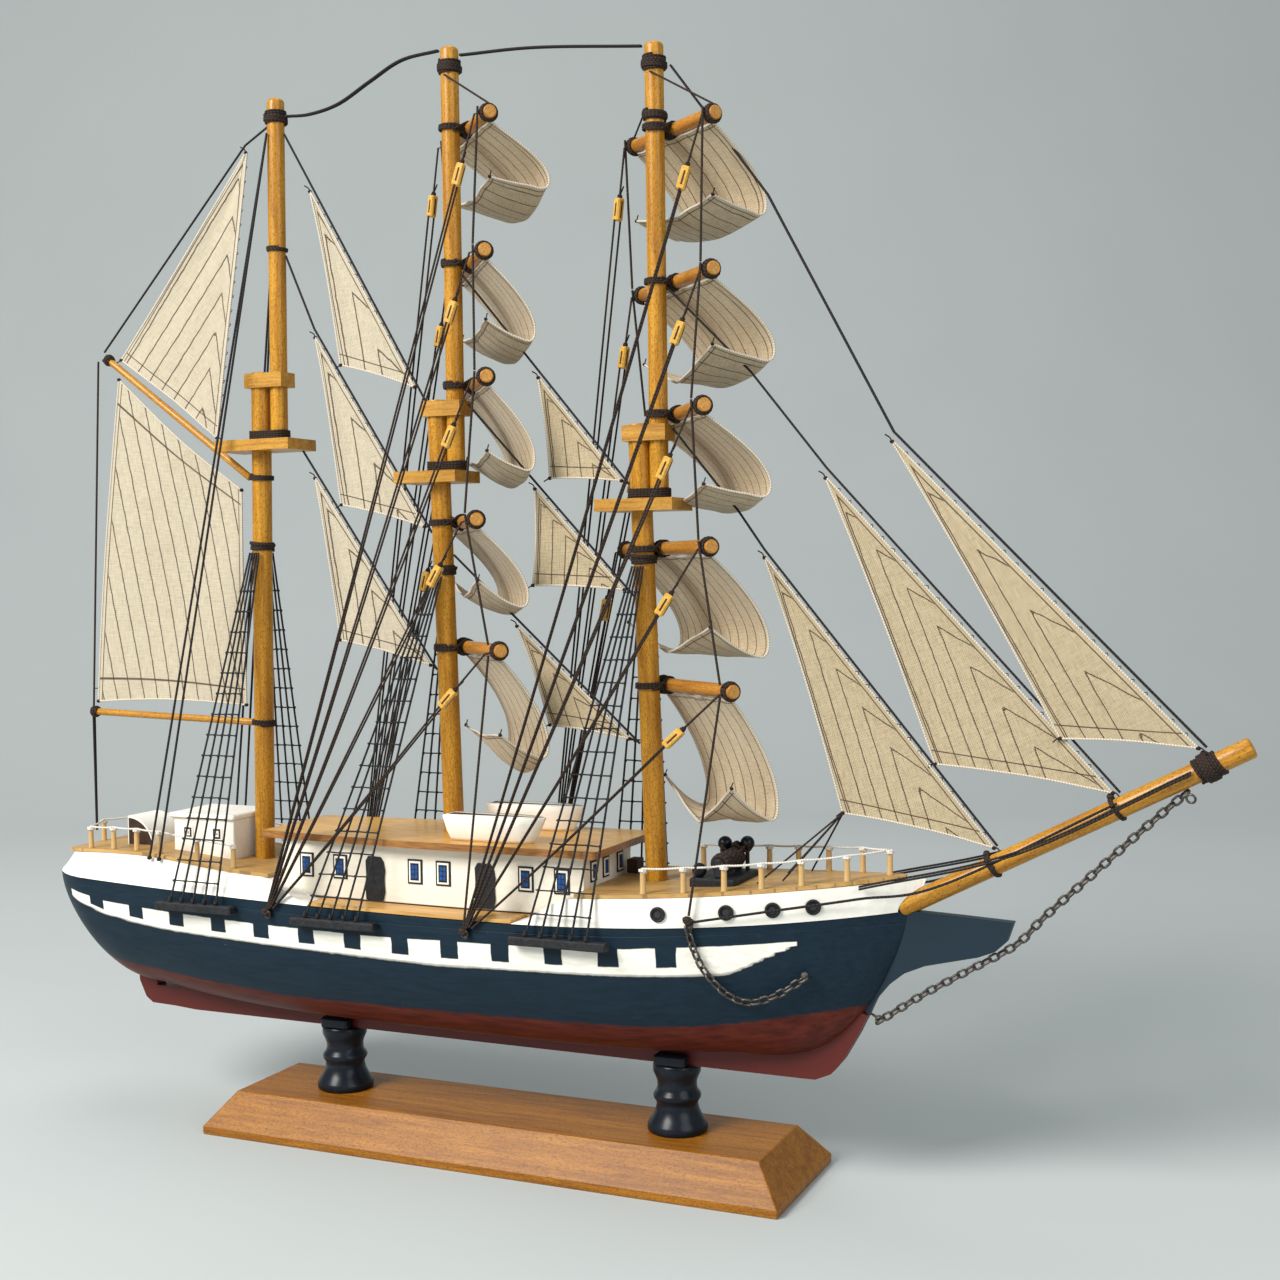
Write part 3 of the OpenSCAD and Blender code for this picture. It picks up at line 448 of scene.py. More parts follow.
def roof_mat():
    """Golden veneer on top; every face not turned up, the edges and the underside, gets a darker copy of its
    colour as painted shade.
    """
    m = Mat("roof_veneer_and_painted_shade", 0.36, Coat_Weight=0.2, Coat_Roughness=0.25)
    fine = m.noise(m.pos(0.5, 5.5, 5.5), 2.0, 6, 0.62, 0.5)
    top = m.ramp(fine, (0.33, (0.44, 0.21, 0.04)), (0.62, (0.72, 0.41, 0.10)))
    # painted shade: a darker copy of the veneer colour for the edges and underside
    side = m.ramp(fine, (0.33, (0.17, 0.062, 0.016)), (0.65, (0.38, 0.17, 0.04)))
    facing = m.split(m.node("NewGeometry").outputs["Normal"])[2]
    # faces turned up get the veneer, all other faces the painted shade
    return m.done(m.mix(m.step(facing, 0.5, 0.1), side, top), fine, 0.25, 0.00012)


def speckle(name, base, other, scale, rough, strength, ends=(0.32, 0.66), **principled):
    m = Mat(name, rough, **principled)
    f = m.noise(m.pos(), scale, 4, 0.65)
    return m.done(m.ramp(f, (ends[0], other), (ends[1], base)), f, strength, 0.0002)


GOLD = wood("mast_wood_grain", (0.62, 0.300, 0.022), (0.31, 0.112, 0.007), True, 0.36, 1.0, 0.62)
YARD_WOOD = wood("yard_wood_grain", (0.54, 0.24, 0.035), (0.27, 0.095, 0.012), True, 0.4, 1.0, 0.6)
POST_WOOD = wood("post_wood", (0.68, 0.46, 0.20), (0.46, 0.26, 0.09), True, 0.45, 1.6)
TOGGLE = wood("toggle_wood", (0.80, 0.47, 0.09), (0.50, 0.24, 0.03), True, 0.4, 1.8, 0.3)
PALE = wood("pale_veneer", (0.68, 0.40, 0.12), (0.42, 0.20, 0.045), False, 0.42, 1.3)
DECK = wood("planked_deck", (0.56, 0.35, 0.12), (0.33, 0.17, 0.045), False, 0.5, 1.2, 0, 2.6)
PLINTH = wood("plinth_wood", (0.40, 0.160, 0.012), (0.19, 0.060, 0.004), False, 0.46, 1.0, 0.6, 0, 0.03)
MAST_BOARD = wood("platform_wood", (0.60, 0.31, 0.045), (0.32, 0.13, 0.012), False, 0.4, 1.4, 0.35)
END_WOOD = speckle("end_grain", (0.66, 0.34, 0.08), (0.34, 0.14, 0.025), 16, 0.55, 0.3)
HULL, ROOF = hull_mat(), roof_mat()
WHITE = paint("white_paint", (0.93, 0.90, 0.81), (0.42, 0.34, 0.24))
CREAM = paint("cream_wall_paint", (0.93, 0.87, 0.73), (0.45, 0.36, 0.24))
NAVY = paint("navy_paint", (0.0075, 0.0215, 0.036), (0.09, 0.09, 0.09))
RED = paint("red_paint", (0.105, 0.014, 0.010), (0.05, 0.012, 0.01))
BLACK = speckle("black_paint", (0.022, 0.023, 0.026), (0.006, 0.006, 0.008), 6, 0.55, 0.6)
GLOSS = speckle("black_lacquer", (0.009, 0.013, 0.019), (0.004, 0.006, 0.010), 1.2, 0.3, 0.15,
                Specular_IOR_Level=0.2, Coat_Weight=0.04)
CORD = cord_mat("brown_cord", (0.046, 0.028, 0.020), (0.009, 0.006, 0.005))
DARK_CORD = cord_mat("black_cord", (0.030, 0.026, 0.025), (0.006, 0.005, 0.005))
THREAD = cord_mat("black_thread", (0.022, 0.022, 0.026), (0.005, 0.005, 0.006), 1.0, 0.6)
WHITE_THREAD = cord_mat("white_thread", (0.82, 0.78, 0.72), (0.50, 0.46, 0.40), 1.0)
ROPE = cord_mat("bolt_rope", (0.74, 0.68, 0.57), (0.42, 0.35, 0.26), 1.0)
LINEN = linen_mat("linen_square", (0.62, 0.51, 0.345), (0.33, 0.25, 0.15), 0.72)
LINEN_AFT = linen_mat("linen_aft", (0.55, 0.485, 0.365), (0.35, 0.295, 0.20), 0.74, 0.42)
LINEN_JIB = linen_mat("linen_jib", (0.50, 0.41, 0.265), (0.27, 0.205, 0.115), 0.54, 0.46)
STEEL = speckle("dark_steel", (0.16, 0.145, 0.13), (0.045, 0.035, 0.028), 12, 0.42, 0.2, (0.3, 0.7),
                Metallic=0.85)
KNOT = speckle("grey_eye", (0.16, 0.145, 0.12), (0.035, 0.03, 0.025), 14, 0.6, 0.7, Metallic=0.3)
BLUE = speckle("blue_pane", (0.012, 0.10, 0.36), (0.006, 0.045, 0.18), 10, 0.25, 0.1)
DARK = speckle("dark_inside", (0.055, 0.026, 0.016), (0.022, 0.011, 0.008), 5, 0.6, 0.4)
GREY = speckle("grey_centre", (0.045, 0.045, 0.042), (0.02, 0.02, 0.02), 12, 0.35, 0.3)


# ---------------------------------------------------------------- geometry
class Piece:
    """Collects geometry in millimetres and turns it into one object."""

    def __init__(self):
        self.v, self.f, self.uv, self.mat, self.smooth = [], [], [], [], []

    def add(self, verts, faces, uvs, mat=0, smooth=True):
        n = len(self.v)
        self.v.extend(np.asarray(verts, float))
        self.f += [[n + i for i in f] for f in faces]
        self.uv += uvs
        self.mat += [mat] * len(faces)
        self.smooth += [smooth] * len(faces)

    def face(self, pts, mat=0, flip=False, plane=(0, 2), about=(0, 0, 0)):
        """One flat face through pts, mapped on two of the axes."""
        pts = list(pts)[::-1] if flip else list(pts)
        self.add(pts, [range(len(pts))], [[[(q[k] - about[k]) / 10 for k in plane] for q in pts]], mat, False)

    def grid(self, P, mat=0, wrap=False, uv=None, smooth=True):
        """A sheet of quads through P[i][j]; wrap joins the last j to the first."""
        P = np.asarray(P, float)
        nu, nv = P.shape[:2]
        if uv is None:
            closed = np.concatenate([P, P[:, :1]], 1) if wrap else P
            du = np.linalg.norm(np.diff(closed, axis=1), axis=2).mean(0)
            dv = np.linalg.norm(np.diff(P, axis=0), axis=2).mean(1)
            cu, cv = np.append(0, du.cumsum()) / 10, np.append(0, dv.cumsum()) / 10
            uv = np.stack(np.meshgrid(cv, cu, indexing="ij")[::-1], -1)
        faces, uvs = [], []
        for i, j in product(range(nu - 1), range(nv if wrap else nv - 1)):
            k = (j + 1) % nv
            faces.append([i * nv + j, i * nv + k, (i + 1) * nv + k, (i + 1) * nv + j])
            uvs.append([uv[i][j], uv[i][j + 1], uv[i + 1][j + 1], uv[i + 1][j]])
        self.add(P.reshape(-1, 3), faces, uvs, mat, smooth)

    def tube(self, path, r, mat=0, sides=6, end=None, closed=False):
        """A round cord or bar along path, of one radius or one for each point."""
        path = np.asarray(path, float)
        t = np.roll(path, -1, 0) - np.roll(path, 1, 0) if closed else np.gradient(path, axis=0)
        t = t / np.maximum(np.linalg.norm(t, axis=1, keepdims=True), 1e-9)
        radii = np.zeros(len(path)) + r
        nrm, ang, rings = square_to(t[0])[0], turns(sides)[:, None], []
        for c, d, radius in zip(path, t, radii):
            nrm = unit(nrm - np.dot(nrm, d) * d)
            rings.append(c + radius * (np.cos(ang) * nrm + np.sin(ang) * np.cross(d, nrm)))
        if closed:
            rings, path = rings + rings[:1], np.append(path, path[:1], 0)
        around = np.linspace(0, 2 * pi * radii.max() / 10, sides + 1)
        uv = np.stack(np.meshgrid(arc_lengths(path) / 10, around, indexing="ij")[::-1], -1)
        self.grid(rings, mat, True, uv)
        if not closed:
            for k in (0, -1):
                self.face(rings[k], mat if end is None else end, k == 0, about=path[k])

    def rod(self, a, b, d, end=1, sides=28, bevel=0.35):
        """A round bar with eased edges and end grain."""
        L, u, r = np.linalg.norm(b - a), unit(b - a), d / 2
        ease_in = [0, bevel * 0.3, bevel]
        inner = list(np.linspace(bevel, L - bevel, max(2, int(L / 8)))[1:-1])
        radii = [r - bevel, r - bevel * 0.3] + [r] * (len(inner) + 2) + [r - bevel * 0.3, r - bevel]
        self.tube([a + u * x for x in ease_in + inner + [L - x for x in ease_in[::-1]]], radii, 0, sides, end)

    def wind(self, centre, axis, radius, height, wire=0.5, mat=0, tilt=0.06):
        """Cord wound round a spar: a helix of touching turns with slightly uneven lay."""
        axis = unit(axis)
        e1, e2 = square_to(axis)
        rounds = max(1.2, height / (2 * wire))
        steps, start, pts = int(rounds * 14), rng.uniform(0, 6.28), []
        for i in range(steps + 1):
            a = 2 * pi * rounds * i / steps + start
            h = -height / 2 + wire + (height - 2 * wire) * i / steps + tilt * sin(a)
            r = radius + wire * (1 + 0.12 * sin(2.3 * a))
            pts.append(centre + axis * h + r * (cos(a) * e1 + sin(a) * e2))
        self.tube(pts, wire, mat)

    def ball(self, c, r, mat=0, squash=(1, 1, 1), n=12, rough=0.0):
        P = []
        for i in range(n + 1):
            P.append([])
            for j in range(2 * n):
                k = r * (1 + (rng.uniform(-rough, rough) if 0 < i < n else 0))
                a, b = pi * i / n, pi * j / n
                out = vec(sin(a) * cos(b), sin(a) * sin(b), cos(a))
                P[-1].append(np.asarray(c) + k * out * squash)
        self.grid(P, mat, True)

    def knot(self, c, r, mat=0):
        self.ball(c, r, mat, (1, 1, 0.85), 6, 0.12)

    def block(self, c, size, mat=0, axes=None, bevel=0.25):
        """A box with chamfered edges. axes are its three unit directions."""
        A, h, c = np.eye(3) if axes is None else np.array(axes, float), vec(*size) / 2, vec(*c)
        cut, corners = h - min(bevel, h.min() * 0.45), list(product(SIDES, repeat=3))
        V = np.array([c + (np.where(np.arange(3) == k, h, cut) * s) @ A for s in corners for k in range(3)])
        faces = [[3 * n, 3 * n + 1, 3 * n + 2] for n in range(8)]
        for k in range(3):
            a, b = [i for i in range(3) if i != k]

            def point(along, s, toward):
                t = [0, 0, 0]
                t[k], t[a], t[b] = along, *s
                return 3 * corners.index(tuple(t)) + toward

            for s in SIDES:
                faces.append([point(s, q, k) for q in ((-1, -1), (1, -1), (1, 1), (-1, 1))])
            for q in product(SIDES, repeat=2):
                faces.append([point(-1, q, a), point(1, q, a), point(1, q, b), point(-1, q, b)])
        uvs = []
        for n, f in enumerate(faces):
            normal = np.cross(V[f[1]] - V[f[0]], V[f[2]] - V[f[0]])
            if np.dot(normal, V[f].mean(0) - c) < 0:
                faces[n] = f = f[::-1]
            k = int(np.argmax(np.abs(normal @ A.T)))
            uvs.append(np.delete((V[f] - c) @ A.T / 10, k, 1))
        self.add(V, faces, uvs, mat, False)

    def lathe(self, base, profile, mat=0, sides=48):
        rows = [[base + vec(r * cos(a), r * sin(a), z) for a in turns(sides)] for r, z in profile]
        self.grid(rows, mat, True)

    def ring(self, c, axis, R, r, mat=0, n=24, sides=10):
        e1, e2 = square_to(unit(axis))
        self.tube([c + R * (cos(a) * e1 + sin(a) * e2) for a in turns(n)], r, mat, sides, closed=True)

    def make(self, name, mats, body=SHIP, slot=None, replaces=()):
        me = bpy.data.meshes.new(name)
        me.from_pydata([tuple(float(c) * MM for c in p) for p in self.v], [], self.f)
        flat = np.array([c for u in self.uv for c in u], np.float32).reshape(-1)
        me.uv_layers.new(name="UVMap").data.foreach_set("uv", flat)
        for m in mats:
            me.materials.append(m)
        me.polygons.foreach_set("material_index", self.mat)
        me.polygons.foreach_set("use_smooth", self.smooth)
        me.update()
        ob = bpy.data.objects.new(name, me)
        bpy.context.scene.collection.objects.link(ob)
        if body:
            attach(ob, body)
        if replaces:
            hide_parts(*replaces)
        return ob


def polyline(points, step=4.0, sag=0.0):
    """Points along straight runs, with a little sag."""
    out = []
    for a, b in zip(points[:-1], points[1:]):
        n = max(2, int(np.linalg.norm(b - a) / step))
        out += [lerp(a, b, i / n) - 4 * sag * (i / n) * (1 - i / n) * Z for i in range(n)]
    return out + [points[-1]]


def smooth_line(points, n=12):
    """A Catmull-Rom curve through points."""
    p = [np.asarray(q, float) for q in points]
    p = [2 * p[0] - p[1]] + p + [2 * p[-1] - p[-2]]
    out = []
    for a, b, c, d in zip(p, p[1:], p[2:], p[3:]):
        for t in np.arange(n) / n:
            out.append(0.5 * (2 * b + (c - a) * t + (2 * a - 5 * b + 4 * c - d) * t * t
                              + (3 * b - a - 3 * c + d) * t ** 3))
    return out + [p[-2]]


# ---------------------------------------------------------------- camera, light and floor
AZIMUTH = radians(23.9)
RIGHT, AWAY = vec(cos(AZIMUTH), sin(AZIMUTH), 0), vec(-sin(AZIMUTH), cos(AZIMUTH), 0)


def photo_camera():
    elevation, roll = radians(2.27), radians(-0.75)
    back = -AWAY * cos(elevation) + Z * sin(elevation)
    above = np.cross(RIGHT, -back)
    axes = (cos(roll) * RIGHT + sin(roll) * above, -sin(roll) * RIGHT + cos(roll) * above, back)
    place = (vec(60.89, 0, 203.34) + back * 648.15) * MM
    cam = bpy.data.cameras.new("photo_camera")
    cam.lens, cam.sensor_width, cam.clip_start = 47.9, 36, 0.01
    ob = bpy.data.objects.new("photo_camera", cam)
    bpy.context.scene.collection.objects.link(ob)
    rows = [[*(float(a[i]) for a in axes), float(place[i])] for i in range(3)]
    ob.matrix_world = Matrix(rows + [[0, 0, 0, 1]])
    bpy.context.scene.camera = ob


def area_light(name, place, target, size, power, color=(1, 1, 1)):
    data = bpy.data.lights.new(name, "AREA")
    data.shape, data.size, data.energy, data.color = "DISK", size, power, color
    ob = bpy.data.objects.new(name, data)
    bpy.context.scene.collection.objects.link(ob)
    ob.location = place
    ob.rotation_euler = (Vector(target) - Vector(place)).to_track_quat("-Z", "Y").to_euler()


def studio():
    bend = [(0.9 + 0.9 * sin(a), 0.9 - 0.9 * cos(a)) for a in np.linspace(0.08, pi / 2, 14)]
    p = Piece()
    p.grid([[1000 * (AWAY * d + RIGHT * w + Z * z) for w in (-4.0, -1.5, 0, 1.5, 4.0)]
            for d, z in [(-3.0, 0), (0.9, 0)] + bend + [(1.8, 4.5)]])
    m = Mat("studio_paper", 0.8)
    rgb = m.ramp(m.noise(m.pos(0.05), 1.0, 2), (0.3, (0.475, 0.510, 0.503)), (0.7, (0.488, 0.523, 0.515)))
    p.make("studio_floor", [m.done(rgb, m.noise(m.pos(), 8, 3), 0.05, 0.0002)], None)
    area_light("key", (-0.75, -1.4, 1.35), (0.02, 0, 0.2), 1.0, 54, (1.0, 0.975, 0.94))
    area_light("fill_right", (1.4, -0.8, 0.9), (0, 0, 0.2), 1.2, 9, (0.95, 0.98, 1.0))
    area_light("top", (-0.2, 0.3, 1.9), (0, 0, 0.1), 1.2, 7)
    world = bpy.data.worlds.new("studio_world")
    world.use_nodes = True
    background = world.node_tree.nodes["Background"].inputs
    background["Color"].default_value, background["Strength"].default_value = (0.75, 0.80, 0.85, 1), 0.42
    bpy.context.scene.world = world
    bpy.context.scene.view_settings.view_transform = "Standard"


# ---------------------------------------------------------------- stand
POST_R, SADDLE_Z = 11.5, 42.5
# radius as a share of the foot's, height above the plinth
POST_PROFILE = [(1 - 0.6 / POST_R, 0.02), (1, 0.6), (1 + 0.05 / POST_R, 2.2), (0.97, 3.4), (0.84, 5.6),
                (0.74, 8), (0.69, 10.2), (0.71, 11.6), (0.78, 12.6), (0.8, 13.6), (0.77, 14.7), (0.68, 15.9),
                (0.655, 17.5), (0.66, 19), (0.72, 21), (0.79, 22.7), (0.8, 24)]


def stand():
    low, high = box_mm("base_plinth")
    top, lip, bevel = high[2], 3.6, 10.5
    rows = []
    for inset, z in ((0.5, 0), (0.1, 0.25), (0, 0.6), (0, lip - 0.35), (0.25, lip + 0.1),
                     (bevel - 0.45, top - 0.25), (bevel + 0.1, top - 0.03), (bevel + 0.7, top)):
        x0, x1, y0, y1 = low[0] + inset, high[0] - inset, low[1] + inset, high[1] - inset
        c, e = 0.5, 0.15
        loop = [(x0 + c, y0), (x1 - c, y0), (x1 - e, y0 + e), (x1, y0 + c), (x1, y1 - c), (x1 - e, y1 - e),
                (x1 - c, y1), (x0 + c, y1), (x0 + e, y1 - e), (x0, y1 - c), (x0, y0 + c), (x0 + e, y0 + e)]
        rows.append([vec(x, y, z) for x, y in loop])
    p = Piece()
    p.grid(rows, 0, True, smooth=False)
    for row, flip in ((rows[0], True), (rows[-1], False)):
        p.face(row, 0, flip, (0, 1))
    p.make("plinth", [PLINTH], SHIP, "varnished_wood", ["base_plinth"])
    q = Piece()
    neck = [(0.8 * POST_R, SADDLE_Z - 0.5), (0.77 * POST_R, SADDLE_Z)]
    for x in (-76, 74):
        q.lathe(vec(x, 0, 0), [(0.02, top)] + [(POST_R * r, top + z) for r, z in POST_PROFILE] + neck)
        rim = [vec(x + 0.77 * POST_R * cos(a), 0.77 * POST_R * sin(a), SADDLE_Z) for a in turns(48)]
        q.face(rim, 0, False, (0, 1))
        for s in SIDES:
            q.block((x, s * 5.9, SADDLE_Z + 2.2), (POST_R * 1.1, 5.5, 4.6), 0, None, 0.8)
    q.make("turned_pedestals", [GLOSS], SHIP, "black_gloss", ["turned_posts"])


# ---------------------------------------------------------------- hull
RED_LINE = [(-216, 70), (-190, 67), (-164, 64.5), (-122, 61.3), (-83, 59.3), (-12, 60.6), (32, 61.4),
            (69, 62), (92, 63.6), (110, 66.2), (128, 69.4), (148, 72), (168, 74)]
BAND_LOW = [(-216, 98.6), (-200, 95.0), (-192.5, 91.4), (-178, 87.2), (-160, 84.6), (-142, 83), (-77, 81),
            (-11, 79.8), (45, 81.4), (79, 82.4), (102, 84.0), (106, 84.7), (129, 96.4), (168, 96.4)]
BAND_HIGH = [(-216, 98.7), (-200, 96.8), (-177, 92.6), (-140, 90.6), (-95, 89.4), (-41, 89.0), (24, 90.4),
             (66, 92.1), (107, 95.0), (129, 96.7), (168, 96.7)]
PORT_0, PORT_PITCH = -181.5, 22.05


def hull_shell():
    n, m = 190, 48
    P, UV = [], []
    for i in range(n + 1):
        x = STERN_X + 0.4 + (BOW_X - 1.6 - STERN_X) * (0.6 * (0.5 - 0.5 * cos(pi * i / n)) + 0.4 * i / n)
        half, z0, z1, e = breadth(x), belly_z(x), sheer(x), fullness(x)
        red, low, high = (np.interp(x, *zip(*line)) for line in (RED_LINE, BAND_LOW, BAND_HIGH))
        marks = [z0 - 30, red, low, high, max(z1, high + 0.5)]
        P.append([])
        UV.append([])
        for j in range(-m, m + 1):
            u = pi / 2 * abs(j) / m
            z = z0 + (z1 - z0) * (1 - cos(u))
            P[-1].append(vec(x, copysign(half * sin(u) ** e, j) if j else 0, z))
            UV[-1].append(((x - PORT_0) / PORT_PITCH + 0.5, np.interp(z, marks, [-1, 0, 1, 2, 3])))
    p = Piece()
    p.grid(P, 0, False, UV)
    p.grid([[row[0], row[-1]] for row in P], 0, False, np.full((n + 1, 2, 2), (-5.0, 3.0)))
    for row in (P[0], P[-1][::-1]):
        p.add(row, [range(2 * m + 1)], [[(-5.0, 2.6)] * len(row)], 0, False)
    p.make("hull_shell", [HULL], SHIP, "navy_paint", ["hull"])


def repaint():
    """The CAD's own parts that keep their shape get their materials."""
    for names, material in (("keel_board", RED), ("cutwater", NAVY), ("poop_block forecastle_block", WHITE),
                            ("waist_deck", PALE), ("poop_deck forecastle_deck", DECK), ("deckhouse", CREAM),
                            ("deckhouse_roof", ROOF), ("mast_platforms mast_caps", MAST_BOARD),
                            ("post_screws", STEEL)):
        for name in names.split():
            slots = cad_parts[name].data.materials
            if not slots:
                slots.append(material)
            for i in range(len(slots)):
                slots[i] = material


def hull_fittings():
    p = Piece()
    for aft_foot, fore_foot in SHROUD_FEET:
        foot_z, x0, x1 = sheer(aft_foot) - 3.2, aft_foot - 7, fore_foot + 8
        y = max(breadth(x0), breadth(x1), breadth((x0 + x1) / 2)) + 0.4
        for s in SIDES:
            p.block(((x0 + x1) / 2, s * (y + 2.2), foot_z - 1.9), (x1 - x0, 4.3, 3.3), 0, None, 0.5)
            for f in np.linspace(0.06, 0.94, 7):
                p.ball((x0 + (x1 - x0) * f, s * (y + 4.1), foot_z - 1.4), 0.8, 0, (1.6, 0.4, 0.8), 6, 0.1)
    p.make("channel_boards", [BLACK], SHIP, "black_paint", ["channels"])
    q = Piece()
    for s, x in product(SIDES, PORTHOLES):
        out = unit(vec(-(breadth(x + 3) - breadth(x - 3)) / 6, s, 0))
        c, across = vec(x, s * (breadth(x) + 0.05), sheer(x) + 5.4), unit(np.cross(out, Z))
        q.ring(c + out * 0.35, out, 2.35, 0.52)
        for r, d, n, mat in ((2.3, 0.3, 24, 0), (1.15, 0.42, 20, 1)):
            q.face([c + out * d + r * (cos(a) * across + sin(a) * Z) for a in turns(n)], mat)
    q.make("porthole_rings", [BLACK, GREY], SHIP, "black_paint", ["portholes"])
    e = Piece()
    for i, s in product(range(3), SIDES):
        c = eye(i, s)
        e.ring(c, vec(0.3, 1, 0.2), 1.45, 0.48)
        e.ring(c + vec(0.6, -s * 0.4, -0.4), vec(1, 0.3, 0), 1.2, 0.45)
        e.ball(c + vec(-0.6, s * 0.5, 0.9), 1.7, 1, (1, 0.8, 0.9), 8, 0.14)
        e.wind(c + vec(0, s * 0.2, 0.4), vec(0.3, 0.1, 1), 1.1, 2.4, 0.42, 1)
    for c in (CHAIN_A, CHAIN_B):
        e.ball(c + vec(0, 0.7, 0.5), 1.35, 0, (1, 0.7, 1), 8, 0.06)
        e.tube([c + vec(0, 0.8, 0.4), c + vec(0, 3.2, 0.4)], 0.55, 0, 8)
    e.tube([vec(149.6, 0, 68.6), vec(152.6, 0, 67.2)], 0.5, 0, 8)
    e.ring(vec(153.6, 0, 66.4), Y, 1.2, 0.42)
    e.make("rigging_eye_rings", [KNOT, CORD], SHIP, "iron", ["rigging_eyes"])


# ---------------------------------------------------------------- deckhouse, cabins and deck gear
def window(p, c, u, n, w, h, bars):
    """A framed window: black edge, white border, blue panes and bars. u is across, n outward."""
    for out, less_w, less_h, mat, bevel in ((0.12, -0.2, -0.2, 0, 0.12), (0.30, 1.2, 1.2, 1, 0.12),
                                            (0.46, 2.6, 2.8, 0, 0.08)):
        p.block(c + n * out, (w - less_w, 0.5, h - less_h), mat, (u, n, Z), bevel)
    wide, tall = (w - 3.4) / 2, (h - 4.0) / (bars + 1)
    for s, j in product(SIDES, range(bars + 1)):
        pane = c + n * 0.54 + u * s * wide / 2 + Z * (j - bars / 2) * tall
        p.block(pane, (wide - 0.3, 0.5, tall - 0.35), 2, (u, n, Z), 0.06)


DOOR = [(-4.1, 0), (3.6, 0.1), (4.4, 3.5), (4.1, 8.5), (4.5, 12), (3.9, 15.4), (2.6, 17.3), (-3.0, 17.5),
        (-4.2, 15.5), (-4.0, 10), (-4.5, 5)]


def deckhouse_details():
    p, line = Piece(), Piece()
    for s in SIDES:
        for x in WINDOWS:
            window(p, vec(x, s * (WALL_HALF + 0.05), 113), X, Y * s, 6.4, 9.6, 2)
        for x in DOORS:
            front = [vec(x + a, s * (WALL_HALF + 0.75), 100.6 + b) for a, b in DOOR]
            p.face(front, 0, s > 0)
            p.grid([[q - Y * s * 0.7 for q in front], front], 0, True, smooth=False)
        foot = [vec(x, s * (WALL_HALF + 0.35), sheer(x) + 1.95) for x in np.linspace(-89, 45.4, 60)]
        line.tube(foot, 0.3)
    for y in (-13, -2, 11):
        window(p, vec(46.05, y, 116.2), Y, X, 5.4, 8.0, 1)
    p.make("doors_and_windows_paint", [BLACK, WHITE, BLUE], SHIP, "blue_panes", ["doors_and_windows"])
    line.make("wall_foot_line", [DARK], SHIP, "pale_wood")


def boats():
    """Two white boats: their sections run from the transom to a rounded bow."""
    p = Piece()
    length, w, h, n = 42.0, 13.0, 10.0, 26
    for s in SIDES:
        o, rows = vec(7 - length / 2, s * 17, ROOF_Z + 0.1), []
        for t in np.arange(n + 1) / n:
            point = sqrt(max(0, 1 - ((t - 0.62) / 0.385) ** 2)) if t > 0.62 else 1
            half = max(0.5, w / 2 * (0.64 + 0.36 * sin(pi * min(1, 0.16 + t * 0.72))) * point)
            side = []
            for z, k, rake in ((0, 0.56, 1), (0.12, 0.66, 0.86), (0.4, 0.84, 0.5), (0.75, 0.96, 0.2),
                               (0.97, 1.0, 0), (1.0, 0.97, 0)):
                x = length * t + (2.6 if t < 0.5 else -5.0) * rake * abs(2 * t - 1) ** 2
                side.append(vec(x, half * k, z * h))
            rows.append([o + q for q in side] + [o + q * (1, -1, 1) for q in side[::-1]])
        p.grid(rows, 0, True)
        for end, flip in ((rows[0], True), (rows[-1], False)):
            p.face(end, 0, flip, (1, 2))
        rim = []
        for row in rows[2:-2]:
            a, b = row[5], row[6]
            c = (a + b) / 2
            rim.append([lerp(a, c, 0.16) + Z * 0.05, lerp(a, c, 0.2) - Z * 0.9, c - Z * 1.2,
                        lerp(b, c, 0.2) - Z * 0.9, lerp(b, c, 0.16) + Z * 0.05])
        p.grid(rim, 1)
        ends = ((0.7, w * 0.18), (length - 1, 0.5))
        p.grid([[o + vec(x, -y, h + 0.02), o + vec(x, y, h + 0.02)] for x, y in ends], 1)
    p.make("boats", [WHITE, DARK], SHIP, "white_paint", ["lifeboats"])


def cabins():
    p = Piece()
    base = poop_top(-136) + DECK_T - 2.0
    p.block((-136, 0, (base + 127.6) / 2), (31, 26, 127.6 - base), 0, None, 0.3)
    p.block((-136.2, 0, 128.7), (33.6, 29, 2.1), 0, None, 0.6)
    # the hood: a quarter round with a dark mouth on each side
    back, hood, r = -179.3, 113.0, 13.4
    outline = [(r * sin(a), r * cos(a)) for a in np.linspace(0, pi / 2, 22)] + [(r, -2), (0, -2)]
    p.grid([[vec(back + x, y, hood + z) for y in (-9.5, 9.5)] for x, z in outline + outline[:1]])
    for s in SIDES:
        for k, mat in ((1, 0), (1 - 0.9 / r, 1)):
            side = [vec(back + x * k + 0.4 * mat, s * (9.5 + 0.06 * mat), hood + z * k) for x, z in outline]
            p.face(side, mat, s < 0)
    for x, s in product((-144, -129), SIDES):
        window(p, vec(x, s * 13.02, 121.5), X, Y * s, 5.0, 5.4, 0)
    p.make("stern_cabin_houses", [WHITE, DARK, BLUE], SHIP, "white_paint", ["stern_cabins"])


